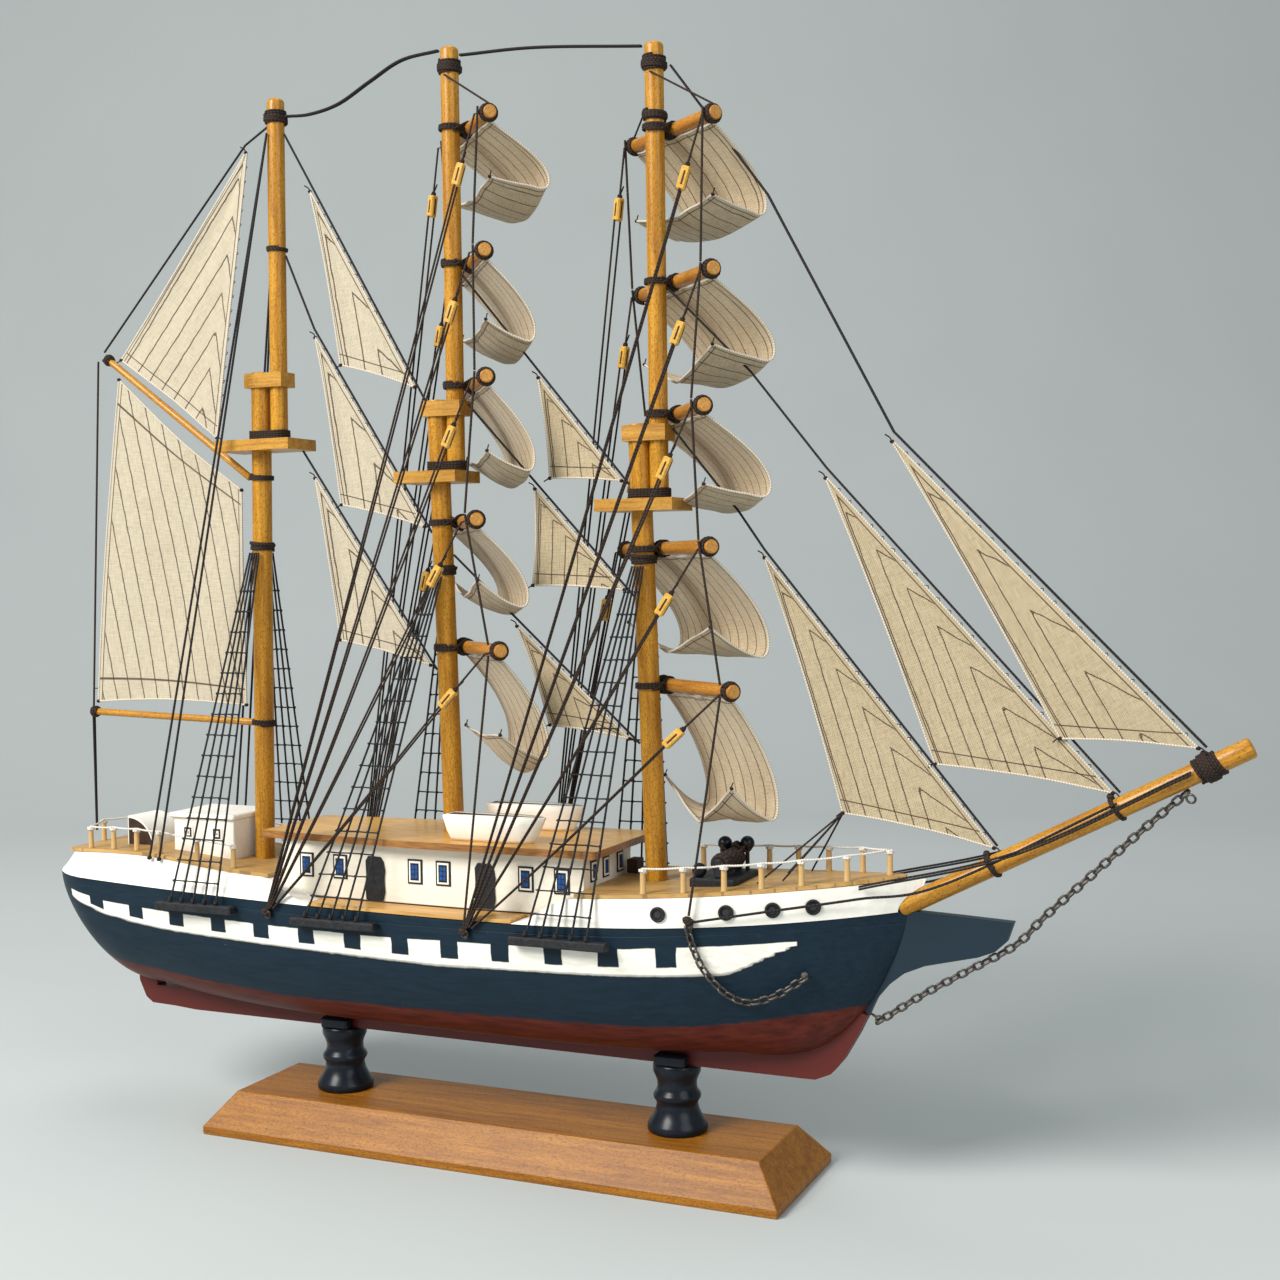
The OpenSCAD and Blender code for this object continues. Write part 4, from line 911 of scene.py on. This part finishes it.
def deck_gear():
    """The windlass: a dark base, a drum wound with rope, loose rope over it and balls on pins."""
    p = Piece()
    top = castle_top(86) + DECK_T + 3.8
    p.block((95, -2, top - 2.4), (18, 26, 4.4), 0, None, 0.6)
    for y in (-12.0, 9.0):
        p.block((96.5, y, top + 3.2), (3, 2, 6.6), 0, None, 0.4)
    for n in range(11):
        c, axis = vec(96.5, -10.2 + n * 1.75, top + 4.6), vec(0.05 * sin(n), 1, 0.04 * cos(2 * n))
        p.ring(c, axis, 2.9 + 0.25 * sin(1.7 * n), 0.92, 1, 20, 8)
    p.rod(vec(96.5, -12.6, top + 4.6), vec(96.5, 9.0, top + 4.6), 4.6, 0, 20)
    p.tube([vec(99 + 2.6 * cos(t), 6.6 + 3.2 * sin(1.3 * t), top + 8.6 + 1.7 * sin(2.1 * t))
            for t in np.linspace(0, 13, 90)], 0.62, 1, 8)
    p.tube([vec(93 + 2.2 * cos(t), 8.6 + 2.5 * sin(1.2 * t), top + 7.2 + 1.4 * sin(1.9 * t + 1))
            for t in np.linspace(0, 11, 80)], 0.6, 1, 8)
    for x, y, h in ((89, -12, 2.3), (100, 9.5, 9.7), (91, 9.5, 9.2)):
        p.rod(vec(x, y, top - 0.3), vec(x, y, top + h), 1.6, 0, 12, 0.1)
        p.ball((x, y, top + h), 2.75, 2)
    p.block((51.2, 14.5, castle_top(50) + DECK_T + 3.4), (4.4, 6.9, 5.4), 3, None, 0.3)
    p.make("windlass_and_rope", [BLACK, CORD, GLOSS, DARK], SHIP, "black_paint", ["windlass"])


def rails():
    profile = [(0.02, -0.1), (1.2, -0.1), (1.25, 0.2), (1.1, 0.7), (1.05, POST_H - 2.6), (1.0, POST_H - 1.6),
               (1.15, POST_H - 0.9), (1.1, POST_H - 0.2), (0.6, POST_H), (0.02, POST_H + 0.02)]
    p, t = Piece(), Piece()
    for posts, end, inset, deck in ((CASTLE_POSTS, 158, 2.6, castle_top), (POOP_POSTS, -201, 6.2, poop_top)):
        run = [(x, inset - breadth(x)) for x in posts] + [(end, 0)]
        run += [(x, breadth(x) - inset) for x in posts[::-1]]
        run = [vec(x, y, deck(x) + DECK_T + 0.2) for x, y in run]
        for c in run:
            p.lathe(c, profile, 0, 14)
            t.wind(c + Z * (POST_H - 0.6), vec(0.05, 0.1, 1), 0.9, 1.7, 0.36)
            head = c + vec(rng.uniform(-0.5, 0.5), rng.uniform(-0.6, 0.6), POST_H - 0.1)
            t.ball(head, 0.75, 0, (1, 1, 0.8), 6, 0.15)
        t.tube(polyline([c + Z * (POST_H + 0.2) for c in run], 3.0, 0.35), 0.42)
    p.make("turned_rail_posts", [POST_WOOD], SHIP, "pale_wood", ["rail_posts"])
    t.make("rail_thread", [WHITE_THREAD], SHIP, "white_thread", ["rail_line"])


# ---------------------------------------------------------------- spars
def spars():
    p, q, b = Piece(), Piece(), Piece()
    for k in range(3):
        p.rod(at(LOWER[k], FOOT_Z[k] - 4), at(LOWER[k], PLATFORM_Z[k] + DOUBLING + CAP_H + 0.6), LOWER_D)
        foot, head = at(TOP[k], PLATFORM_Z[k] + 2.4), at(TOP[k], HEAD_Z[k] - 2)
        axis, L = unit(head - foot), np.linalg.norm(head - foot)
        n = int(L / 8)
        dome = ((0.7, 3.45), (1.3, 3.0), (1.7, 2.3), (1.95, 1.3), (2.0, 0.1))
        path = [foot + axis * (L * i / n) for i in range(n + 1)] + [head + axis * h * 0.98 for h, r in dome]
        q.tube(path, [TOP_D / 2] * (n + 1) + [r for h, r in dome], 0, 28, 1)
    b.rod(SPRIT_A + vec(2, 0, 1), SPRIT_B, SPRIT_D, 1, 32, 0.8)
    masts = ["mizzen", "main", "fore"]
    for piece, name, nodes in ((p, "lower_masts", [m + "_mast" for m in masts]),
                               (q, "topmasts", [m + "_topmast" for m in masts]),
                               (b, "bowsprit_spar", ["bowsprit"])):
        piece.make(name, [GOLD, END_WOOD], SHIP, "mast_wood", nodes)


def lashings():
    p = Piece()
    for k in range(3):
        z = PLATFORM_Z[k] + 2.6
        a, b = (at(LOWER[k], z + 2), LOWER_D / 2 + 0.55), (at(TOP[k], z + 2), TOP_D / 2 + 0.55)
        for h in (0.6, 1.5, 2.4, 3.2):
            pts = []
            for t in turns(40):
                c, r = b if cos(t) > 0 else a
                pts.append(vec(c[0] + r * cos(t), r * sin(t), z + h + 0.12 * sin(3 * t + h)))
            p.tube(pts, 0.5, closed=True)
        p.wind(at(TOP[k], HEAD_Z[k] - 8), lean(TOP[k]), TOP_D / 2, 6.2)
        p.wind(at(TOP[k], HEAD_Z[k] - 8.6), lean(TOP[k]), TOP_D / 2 + 0.5, 3.6, tilt=0.4)
        p.wind(at(LOWER[k], SHROUD_Z[k]), lean(LOWER[k]), LOWER_D / 2, 4.2, tilt=0.2)
        p.wind(at(LOWER[k], SHROUD_Z[k] + 1), lean(LOWER[k]), LOWER_D / 2 + 0.4, 2.0, tilt=0.5)
    p.wind(at(TOP[0], 365), lean(TOP[0]), TOP_D / 2, 2.4, tilt=0.25)
    for h, wide in ((4.6, 0), (3.0, 0.4)):
        p.wind(at(TOP[2], FORE[0][0] + 4.6), lean(TOP[2]), TOP_D / 2 + wide, h, tilt=0.3)
    p.make("mast_cord_wraps", [CORD], SHIP, "dark_cord", ["mast_lashings"])


# ---------------------------------------------------------------- yards, their cords and square sails
def bez(p, t):
    p = [np.asarray(q, float) for q in p]
    return (1 - t) ** 3 * p[0] + 3 * t * (1 - t) ** 2 * p[1] + 3 * t * t * (1 - t) * p[2] + t ** 3 * p[3]


def sail_section(b, c, d, a, shape):
    """The sail's section at a share a of the way from its middle (0) to its side edge (1)."""
    side_share, mid, sag = shape
    d = d * (1 + (side_share - 1) * a * a)
    sag, w = sag * (1 - a * a), a ** 1.15
    front = [(0.4, -2.75), (0.45 * b, -6.5 - 0.12 * d), (b, -0.62 * d), (b, -0.88 * d)]
    turn = [(b, -0.88 * d), (b, -1.0 * d), (0.92 * b, -1.035 * d), (0.76 * b, -1.0 * d)]
    out = [bez(front, t) for t in np.linspace(0, 1, 18)[:-1]]
    out += [bez(turn, t) for t in np.linspace(0, 1, 10)[:-1]]
    out = [q - vec(0, sag * min(1, -q[1] / (0.88 * d)) ** 2) for q in out]
    end = lerp((0.5, -mid), (0.2, -c), w)
    low = lerp((0.4 * b, -0.75 * d - 0.28 * mid), (0.5 * b, -0.86 * d - 0.14 * c), w) - vec(0, sag * 0.6)
    back = [(0.76 * b, -1.0 * d - sag), (0.62 * b, -0.965 * d - sag), low, end]
    return np.array(out + [bez(back, t) for t in np.linspace(0, 1, 12)])


class Cloth:
    """Rows of points of a sail, with its maps: the weave, the edges and the seams, all in cm."""

    def __init__(self):
        self.rows, self.maps = [], {"UVMap": [], "edge": [], "seam": []}

    def new_row(self):
        for rows in (self.rows, *self.maps.values()):
            rows.append([])

    def put(self, q, uv, edge, seam):
        self.rows[-1].append(q)
        for rows, value in zip(self.maps.values(), (uv, edge, seam)):
            rows[-1].append(value)

    def make(self, name, mat, body, replaces):
        self.P = np.array(self.rows)
        p = Piece()
        p.grid(self.P, 0, False, self.maps["UVMap"])
        ob = p.make(name, [mat], body, "linen", replaces)
        loops = np.zeros(len(ob.data.loops), np.int32)
        ob.data.loops.foreach_get("vertex_index", loops)
        for key in ("edge", "seam"):
            values = np.array(self.maps[key], np.float32).reshape(-1, 2)
            ob.data.uv_layers.new(name=key).data.foreach_set("uv", values[loops].reshape(-1))
        return ob


def declare(rope, name, body, size, area, rests):
    """The bolt rope becomes a piece."""
    r_ob = rope.make(name + "_bolt_rope", [ROPE, CORD], body, "white_thread")
    tuple(v * MM for v in size)
    area * MM * MM


def square_sail(yard, prefix, body):
    nu, node, seed = 29, f"{prefix}_sail_{yard.i + 1}", yard.i * 1.7 + yard.k
    t0, width = 3 - yard.port, yard.star + yard.port - 6
    cloth, lengths = Cloth(), []
    for f in np.arange(nu) / (nu - 1):
        section = sail_section(yard.belly, yard.clew, yard.foot, abs(2 * f - 1), yard.shape)
        L, t = arc_lengths(section), t0 + width * f
        lengths.append(L[-1])
        cloth.new_row()
        for (s, h), run in zip(section, L):
            g = run / L[-1]
            bow = 0.9 * sin(pi * g) * (1 if f > 0.5 else -1) * abs(2 * f - 1) ** 3
            ripple = 0.28 * sin(9 * f + 3 * g + seed) * sin(pi * g)
            ripple += 0.22 * sin(21 * f - 7 * g + 2 * seed) * g
            scallop = 0.55 * abs(sin(pi * f * 5)) * max(0, 1 - g * 9)
            q = yard.spot(t + bow, s + ripple, h - scallop + 0.12 * sin(17 * f + seed))
            edge = (width * min(f, 1 - f) / 10, min(run, L[-1] - run) / 10)
            cloth.put(q, (t / 10, run / 10), edge, ((t - t0) / 10 + 0.36, 1))
    name = f"{prefix}_square_{yard.i + 1}"
    ob, rope = cloth.make(name, LINEN, body, [node]), Piece()
    P = cloth.P
    for line, r in ((P[0], 0.42), (P[-1], 0.42), (P[:, -1], 0.42), (P[:, 0], 0.38)):
        rope.tube(line, r)
    for c in (P[0][-1], P[-1][-1]):
        ends = ((-0.6, 0.4, 0.6), (0.3, -0.6, -0.2), (-0.2, 0.9, 0.9), (0.8, -0.2, 2.2))
        rope.tube(smooth_line([c + q for q in ends], 6), 0.24, 1, 5)
        rope.knot(c, 0.75, 1)
    height, area = max(lengths), sum(lengths) / nu * width
    declare(rope, name, body, (width, height), min(area, width * height), [prefix + "_yards"])


TOGGLE_L, PENDANT = 9.0, 19.0


def yard_set(prefix, yards, brace_eye):
    body = prefix + "_yard_set"
    bars, cord, toggles = Piece(), Piece(), Piece()
    for y in yards:
        bars.rod(y.spot(-y.port), y.spot(y.star), YARD_D, 1, 28, 0.4)
        for t in (y.star - 2.6, 2.6 - y.port):
            cord.wind(y.spot(t), y.stbd, YARD_D / 2, 4.0, 0.46)
            cord.wind(y.spot(t), y.stbd, YARD_D / 2 + 0.35, 2.0, 0.44, 0, 0.3)
        cord.wind(y.spot(0), y.stbd, YARD_D / 2, 5.0, 0.46, 0, 0.2)
        cord.wind(at(y.mast, y.z), lean(y.mast), y.mast_d / 2 + 0.35, 3.4, 0.5, 0, 0.2)
        for s in SIDES:
            a = at(y.mast, y.z) + y.stbd * s * (y.mast_d / 2 + 0.85)
            for pts in ([a - Z * 1.2 * s, a + y.fwd * 2.4 + Z * 0.2, y.spot(s * 1.6, -1.0, 2.9 * s)],
                        [a + Z * 1.2 * s, a + y.fwd * 2.6, y.spot(-s * 0.8, -0.5, -2.9 * s)]):
                cord.tube(smooth_line(pts, 6), 0.45)
        for side in y.braced_sides():
            p0 = y.brace_start(side)
            d = unit(eye(brace_eye, -side) - p0)
            w = unit(np.cross(d, Z))
            n = np.cross(w, d)
            cord.tube([y.arm(side, -2.4, -0.4), p0, p0 + d * (PENDANT - 0.2)], 0.42)
            c, tie = p0 + d * (PENDANT + TOGGLE_L / 2), p0 + d * (PENDANT - 0.8)
            toggles.block(c, (3.3, TOGGLE_L - 0.2, 3.3), 0, (w, d, n), 0.55)
            for s in SIDES:
                toggles.block(c + n * s * 1.5, (0.7, 6.2, 0.5), 1, (w, d, n), 0.1)
                toggles.block(c + w * s * 1.5, (0.5, 5.2, 0.7), 1, (w, d, n), 0.1)
            cord.wind(c - d * (TOGGLE_L / 2 + 0.2), d, 0.5, 1.0, 0.3)
            cord.knot(tie, 0.95)
            cord.tube(smooth_line([tie, tie - d * 2.2 + w * 0.9, tie - d * 3.8 + w * 1.5], 5), 0.3, 0, 5)
    for side, count in ((-1, 2), (1, 4)):
        for upper, lower in zip(yards[:count], yards[1:]):
            cord.tube(polyline([upper.arm(side, -4.3, 2), lower.arm(side, -4.3, 2.4)], 5.0), 0.46)
    bars.make(prefix + "_yard_spars", [YARD_WOOD, END_WOOD], body, "mast_wood", [prefix + "_yards"])
    cord.make(prefix + "_yard_cords", [CORD], body, "dark_cord", [prefix + "_yard_lines"])
    toggles.make(prefix + "_brace_toggles", [TOGGLE, DARK], body, "pale_wood")
    for y in yards:
        square_sail(y, prefix, body)


def crossing_cord(name, ship_end, set_end, paths, r, replaces=(), mat=CORD):
    """A cord running from the ship to a swinging set, made on its own in world coordinates."""
    p = Piece()
    for pts in paths:
        p.tube(pts, r)
    ob = p.make(name, [mat], None, "dark_cord", replaces)
    tuple(ship_end * MM)
    tuple(set_end * MM)
    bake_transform(ob)


def braces(prefix, k, yards, brace_eye, down_eye):
    body, first, sides = prefix + "_yard_set", [prefix + "_braces"], {-1: "port", 1: "starboard"}
    for i, y in enumerate(yards):
        for side in y.braced_sides():
            p0, e = y.brace_start(side), eye(brace_eye, -side)
            d = unit(e - p0)
            w = unit(np.cross(d, Z))
            a, b = p0 + d * (PENDANT + TOGGLE_L - 0.4), e - d * (1.4 + 0.5 * i) + X * 0.35 * (i - 2)
            share = np.linspace(0, 1, int(np.linalg.norm(b - a) / 7) + 1)
            paths = [[lerp(a, b, t) + w * s * (1.15 * (1 - t) ** 0.8 + 0.42) - Z * 0.9 * sin(pi * t)
                      for t in share] for s in SIDES]
            crossing_cord(f"{prefix}_brace_{i + 1}_{sides[side]}", b, a, paths, 0.4, first)
            first = []
    a, b = yards[4].arm(1, -4.3, -1.6), eye(down_eye, -1) + vec(0, -0.4, 2.6)
    crossing_cord(f"{prefix}_lower_thread", b, a, [polyline([a, b], 7)], 0.46)
    for side in SIDES:
        a = at(TOP[k], HEAD_Z[k] - 12) - Y * side * (TOP_D / 2 + 0.6)
        b = yards[0].arm(side, 0, YARD_D / 2 + 1.0)
        crossing_cord(f"{prefix}_lift_{sides[side]}", a, b, [polyline([a, b], 6)], 0.42)


# ---------------------------------------------------------------- fore-and-aft sails
# the seams turn towards the luff along a line this far inside it, at this slope
MITRE, MITRE_GROW, MITRE_RUN = 2.5, 0.06, 3.0


def triangle_sail(name, corners, mat, body, rests, y0, belly, hollow, replaces, seed):
    """A sail of three corners: head, tack, clew. Rows run from the head to the foot."""
    head, tack, clew = (up(c, y0) for c in corners)
    nu, nv = 44, 34
    luff, leech, foot = unit(tack - head), unit(clew - head), unit(tack - clew)
    inward, across = unit((tack + clew) / 2 - head), unit(vec(leech[2], 0, -leech[0]))
    fan = acos(float(np.dot(luff, leech)))
    slope = sin(fan) - MITRE_GROW * cos(fan)
    cloth = Cloth()
    for i in range(nu):
        g = max(i / (nu - 1), 0.012)
        cloth.new_row()
        for f in np.arange(nv) / (nv - 1):
            q = lerp(lerp(head, clew, g), lerp(head, tack, g), f)
            bulge = belly * 4 * f * (1 - f) * sin(pi * min(1, g * 0.85))
            q = q + Y * (bulge + 0.25 * sin(11 * f + 6 * g + seed))
            q = q + foot * hollow * sin(pi * g) * (1 - f) ** 2 - inward * hollow * 0.9 * sin(pi * f) * g ** 6
            off_luff, off_leech, off_foot = (abs(np.cross(u, q - p)[1])
                                             for u, p in ((luff, head), (leech, head), (foot, clew)))
            apex = (np.dot(q - head, luff) - (MITRE - off_luff) * MITRE_RUN) / (1 + MITRE_GROW * MITRE_RUN)
            seam = (off_leech / 10, 1)
            if off_luff <= MITRE + MITRE_GROW * apex:
                finer = slope * hypot(1, MITRE_RUN) / (1 + MITRE_GROW * MITRE_RUN)
                seam = ((apex * slope - MITRE * cos(fan)) / 10, max(0.3, finer))
            cloth.put(q, (np.dot(q - head, across) / 10, np.dot(q - head, leech) / 10),
                      (min(off_luff, off_leech) / 10, off_foot / 10), seam)
    ob, rope, P = cloth.make(name, mat, body, replaces), Piece(), cloth.P
    for line, r in ((P[:, 0], 0.4), (P[:, -1], 0.42), (P[-1], 0.4)):
        rope.tube(line, r)
    for c, out in ((P[0][0], vec(-1, 0, 1)), (P[-1][-1], vec(1, 0, -0.6)), (P[-1][0], vec(-1, 0, -0.6))):
        rope.knot(c, 0.85, 1)
        tail = [c, c + out * 1.1 + vec(0, 0.7, 0.5), c + out * 2.4 + vec(0, -0.5, 0.2)]
        rope.tube(smooth_line(tail, 5), 0.26, 1, 5)
    stitches = max(4, int(np.linalg.norm(tack - head) / 6))
    for n in range(1, stitches):
        c = lerp(P[0][-1], P[-1][-1], n / stitches)
        rope.tube([c - luff * 0.9, c + vec(0.7, 0.5, 0.5), c + luff * 0.9 + vec(0.2, 0, 0.2)], 0.17, 1, 5)
    w, h = np.linalg.norm(tack - clew), abs(np.cross(foot, head - clew)[1])
    declare(rope, name, body, (float(w), float(h)), float(0.5 * w * h), rests)


def gaff_sail():
    """The spanker: its head along the gaff, its foot along the boom."""
    peak, throat, tack, clew = (up(c) for c in SPANKER)
    nu, nv, cloth = 36, 24, Cloth()
    for g in np.arange(nu) / (nu - 1):
        cloth.new_row()
        for f in np.arange(nv) / (nv - 1):
            top = lerp(peak, throat, f) - Z * 2.2 * sin(pi * f)
            low = lerp(clew, tack, f) + Z * 1.6 * sin(pi * f)
            q = lerp(top, low, g) + vec(-1.6 * sin(pi * g) * (1 - f), 2.2 * sin(pi * f) * sin(pi * g), 0)
            q = q + Y * 0.25 * sin(9 * f + 5 * g)
            x = q[0] - clew[0]
            cloth.put(q, (x / 10, (peak[2] - q[2]) / 10), (min(f, 1 - f) * 7.0, min(g, 1 - g) * 9.5 * 0.62),
                      (x / 10 + 0.02 * (q[2] - 175), 1))
    ob, rope = cloth.make("spanker_sheet", LINEN_AFT, SPANKER_SET, ["spanker"]), Piece()
    P = cloth.P
    for line in (P[0], P[-1], P[:, 0], P[:, -1]):
        rope.tube(line, 0.4)
    for c in (P[0][0], P[0][-1], P[-1][0], P[-1][-1]):
        rope.knot(c, 0.9, 1)
    a, b = vec(-197.5, 0, 324.6), vec(-205, 0, 172.8)
    rope.tube(polyline([a, b], 8), 0.45, 1)
    c = lerp(P[0][0], P[-1][0], 0.96)
    rope.tube([c, lerp(a, b, (a[2] - c[2]) / (a[2] - b[2]))], 0.22, 1, 5)
    area = 0.5 * abs(sum(p[0] * q[1] - q[0] * p[1] for p, q in zip(SPANKER, SPANKER[1:] + SPANKER[:1])))
    declare(rope, "spanker", SPANKER_SET, (float(tack[0] - clew[0]), float(peak[2] - clew[2])), area,
            ["gaff", "boom"])


def boom_and_gaff():
    g = Piece()
    for a, b in (BOOM, GAFF):
        a, b = up(a), up(b)
        u = unit(b - a)
        g.rod(a, b, BOOM_D, 1, 20, 0.3)
        g.wind(a + u * 2.0, u, BOOM_D / 2, 4.0, 0.42, 2)
        g.wind(a + u * 2.0, u, BOOM_D / 2 + 0.3, 2.2, 0.4, 2, 0.2)
        g.wind(at(LOWER[0], b[2]), lean(LOWER[0]), LOWER_D / 2 + 0.1, 3.0, 0.46, 2, 0.3)
    g.make("boom_and_gaff", [GOLD, END_WOOD, CORD], SPANKER_SET, "mast_wood", ["boom", "gaff"])


def spanker_cords():
    line = [vec(-104.8, 0, 416), vec(-116.6, 0, 409.5), vec(-194, 0, 328.4)]
    crossing_cord("topping_line", line[0], line[2], [polyline(line, 6)], 0.45,
                  ["spanker_lines"], DARK_CORD)
    a, b = vec(-205, 0, 168.4), vec(-205, 0, poop_top(-200) + 6)
    crossing_cord("boom_sheet_line", b, a,
                  [polyline([a + Y * s, b + Y * s * 0.4], 6) for s in (-0.5, 0.5)], 0.42, (), DARK_CORD)


def stay_sails():
    sets = (("jib", JIBS, LINEN_JIB, 1.8, 1.4, 0, 1.3),
            ("main_staysail", MAIN_STAYSAILS, LINEN_JIB, 1.0, 0.8, 3, 1),
            ("mizzen_staysail", MIZZEN_STAYSAILS, LINEN_AFT, 1.2, 1.0, 6, 1))
    for node, sails, mat, belly, hollow, seed, pitch in sets:
        for n, corners in enumerate(sails):
            # the third jib hangs on the starboard one of its two stays
            y0, bulge = (-1.6, -1.6) if node == "jib" and n == 2 else (0.0, belly)
            triangle_sail(f"{node}_{n + 1}", corners, mat, SHIP, ["standing_rigging"], y0, bulge, hollow,
                          [node + "s"] if n == 0 else [], seed + n * pitch)


# ---------------------------------------------------------------- shrouds and standing rigging
def shroud_nets():
    p, gap = Piece(), 8.6
    for k, s in product(range(3), SIDES):
        x0, x1 = SHROUD_FEET[k]
        foot_z = sheer(x0) - 3.2
        h = SHROUD_Z[k] - foot_z

        def on(j, f):
            top = at(LOWER[k], SHROUD_Z[k] - 2.6) + vec((j - 2) * 1.1 - 0.6, s * (LOWER_D / 2 + 0.8), 0)
            return lerp(vec(x0 + (x1 - x0) * j / 4, s * (breadth(x0 + 12) + 3.9), foot_z - 0.1), top, f)

        for j in range(5):
            p.tube(polyline([on(j, 0), on(j, 1)], 12), 0.42)
            p.wind(on(j, 0) + Z * 1.2, on(j, 1) - on(j, 0), 0.4, 2.2, 0.3)
        for f in np.arange(gap, 0.93 * h, gap) / h:
            across = (-0.15, 0, 1, 2, 3, 4, 4.15)
            p.tube([on(j, f) + vec(0, s * 0.62, 0.1 + rng.uniform(-0.18, 0.18)) for j in across], 0.3, 0, 5)
            for j in range(5):
                p.ball(on(j, f) + Y * s * 0.3, 0.62, 0, (1, 1, 1.1), 4, 0.1)
    p.make("shroud_nets", [THREAD], SHIP, "black_thread", ["shrouds"])


def stays():
    p = Piece()
    for line in STAYS:
        p.tube(polyline([up(q) for q in line], 6), 0.46)
    # the third jib stay is double, and so are the cords between the mastheads
    p.tube(polyline([up(q, 0.9) for q in STAYS[-1]], 6), 0.42)
    slack = [(-95.9, 419), (-84, 418.5), (-70, 421), (-55, 428), (-40, 434.5), (-23, 436)]
    for dy in (-0.55, 0.55):
        p.tube(smooth_line([up(q, dy) for q in slack], 8), 0.5)
        p.tube(smooth_line([up(q, dy) for q in ((-13.2, 433), (20, 431.5), (64.6, 426))], 10), 0.48)
    for s in SIDES:
        for x in (-152, -147):
            top = at(TOP[0], 412) + vec(-1.5, s * (TOP_D / 2 + 0.6), 0)
            middle = vec(-127 + (x + 150) * 0.5, s * 17, 256)
            p.tube(smooth_line([top, middle, vec(x, s * 28.6, poop_top(x) - 0.3)], 16), 0.48)
            p.knot(vec(x, s * 28.6, poop_top(x) + 0.2), 1.0)
        pts = [vec(262, s * 4.6, 160), vec(205, s * 10, 131), vec(150, s * (breadth(150) + 2.4), 116)]
        for d in (-0.4, 0.5):
            p.tube(smooth_line([q + Z * d for q in pts], 10), 0.42)
        pts = [vec(238, s * 4.4, 149), vec(180, s * 12, 119), vec(150, s * (breadth(150) + 4.6), 112.5),
               vec(120, s * (breadth(120) + 3), 108), eye(2, s) + vec(2.2, s * 0.8, 0.6)]
        p.tube(smooth_line(pts, 10), 0.5)
    for f, h, extra in ((0.29, 2.6, 0), (0.64, 2.6, 0), (0.885, 9.5, 0), (0.885, 5.0, 0.7)):
        p.wind(lerp(SPRIT_A, SPRIT_B, f), SPRIT_B - SPRIT_A, SPRIT_D / 2 + extra, h, 0.52, 1, 0.45)
    for f in (0.29, 0.64, 0.89):
        p.knot(lerp(SPRIT_A, SPRIT_B, f) + vec(-2.2, 0, 4.2), 1.3, 1)
    # four short cords from the first jib's clew to the deck
    for x, y in ((112, -13), (116, 10), (120, -8), (124, 14)):
        p.tube(polyline([up(JIBS[0][2]), vec(x, y, castle_top(x) + DECK_T + 0.8)], 6), 0.36, 1)
    p.make("stays_and_guys", [DARK_CORD, CORD], SHIP, "dark_cord", ["standing_rigging"])


# ---------------------------------------------------------------- chains
def links(piece, points, length=4.2, wide=3.0, wire=0.48):
    """Oval links along a curve, each turned a quarter from the last."""
    pts = np.array(smooth_line(points, 24))
    L = arc_lengths(pts)
    n = int(L[-1] / (length - 2.1 * wire))
    half, rad = (length - wide) / 2, wide / 2 - wire / 2
    for i, s in enumerate(np.linspace(0, L[-1], n + 1)):
        c, q, r = (vec(*[np.interp(d, L, pts[:, a]) for a in range(3)]) for d in (s, s + 0.6, s - 0.6))
        u = unit(q - r)
        w = unit(np.cross(u, vec(0, 1, 0.12)))
        w = w if i % 2 else np.cross(u, w)
        w = unit(w + 0.35 * np.cross(u, w))
        loop = [c + u * (copysign(half, cos(a)) + rad * cos(a)) + w * rad * sin(a) for a in turns(18)]
        piece.tube(loop, wire, closed=True)


def chains():
    p, q, run = Piece(), Piece(), CHAIN_B - CHAIN_A
    down = unit(unit(run)[2] * unit(run) - Z)
    links(p, [CHAIN_A + s * run + d * down for s, d in CHAIN_STOPS])
    p.make("anchor_chain_links", [STEEL], CHAIN_SET, "iron", ["anchor_chain"])
    links(q, [up(b) for b in BOBSTAY])
    q.ring(vec(261.6, -1.2, 151.2), vec(0.2, 1, 0.3), 1.5, 0.42)
    q.make("bobstay_chain_links", [STEEL], SHIP, "iron", ["bobstay_chain"])


photo_camera()
studio()
stand()
hull_shell()
repaint()
hull_fittings()
deckhouse_details()
boats()
cabins()
deck_gear()
rails()
spars()
lashings()
for prefix, k, yards, brace_eye, down_eye in SETS:
    yard_set(prefix, yards, brace_eye)
    braces(prefix, k, yards, brace_eye, down_eye)
gaff_sail()
boom_and_gaff()
triangle_sail("gaff_topsail_sheet", GAFF_TOPSAIL, LINEN_AFT, SPANKER_SET, ["gaff"], 0, 1.2, 0.8,
              ["gaff_topsail"], 2.0)
spanker_cords()
stay_sails()
shroud_nets()
stays()
chains()
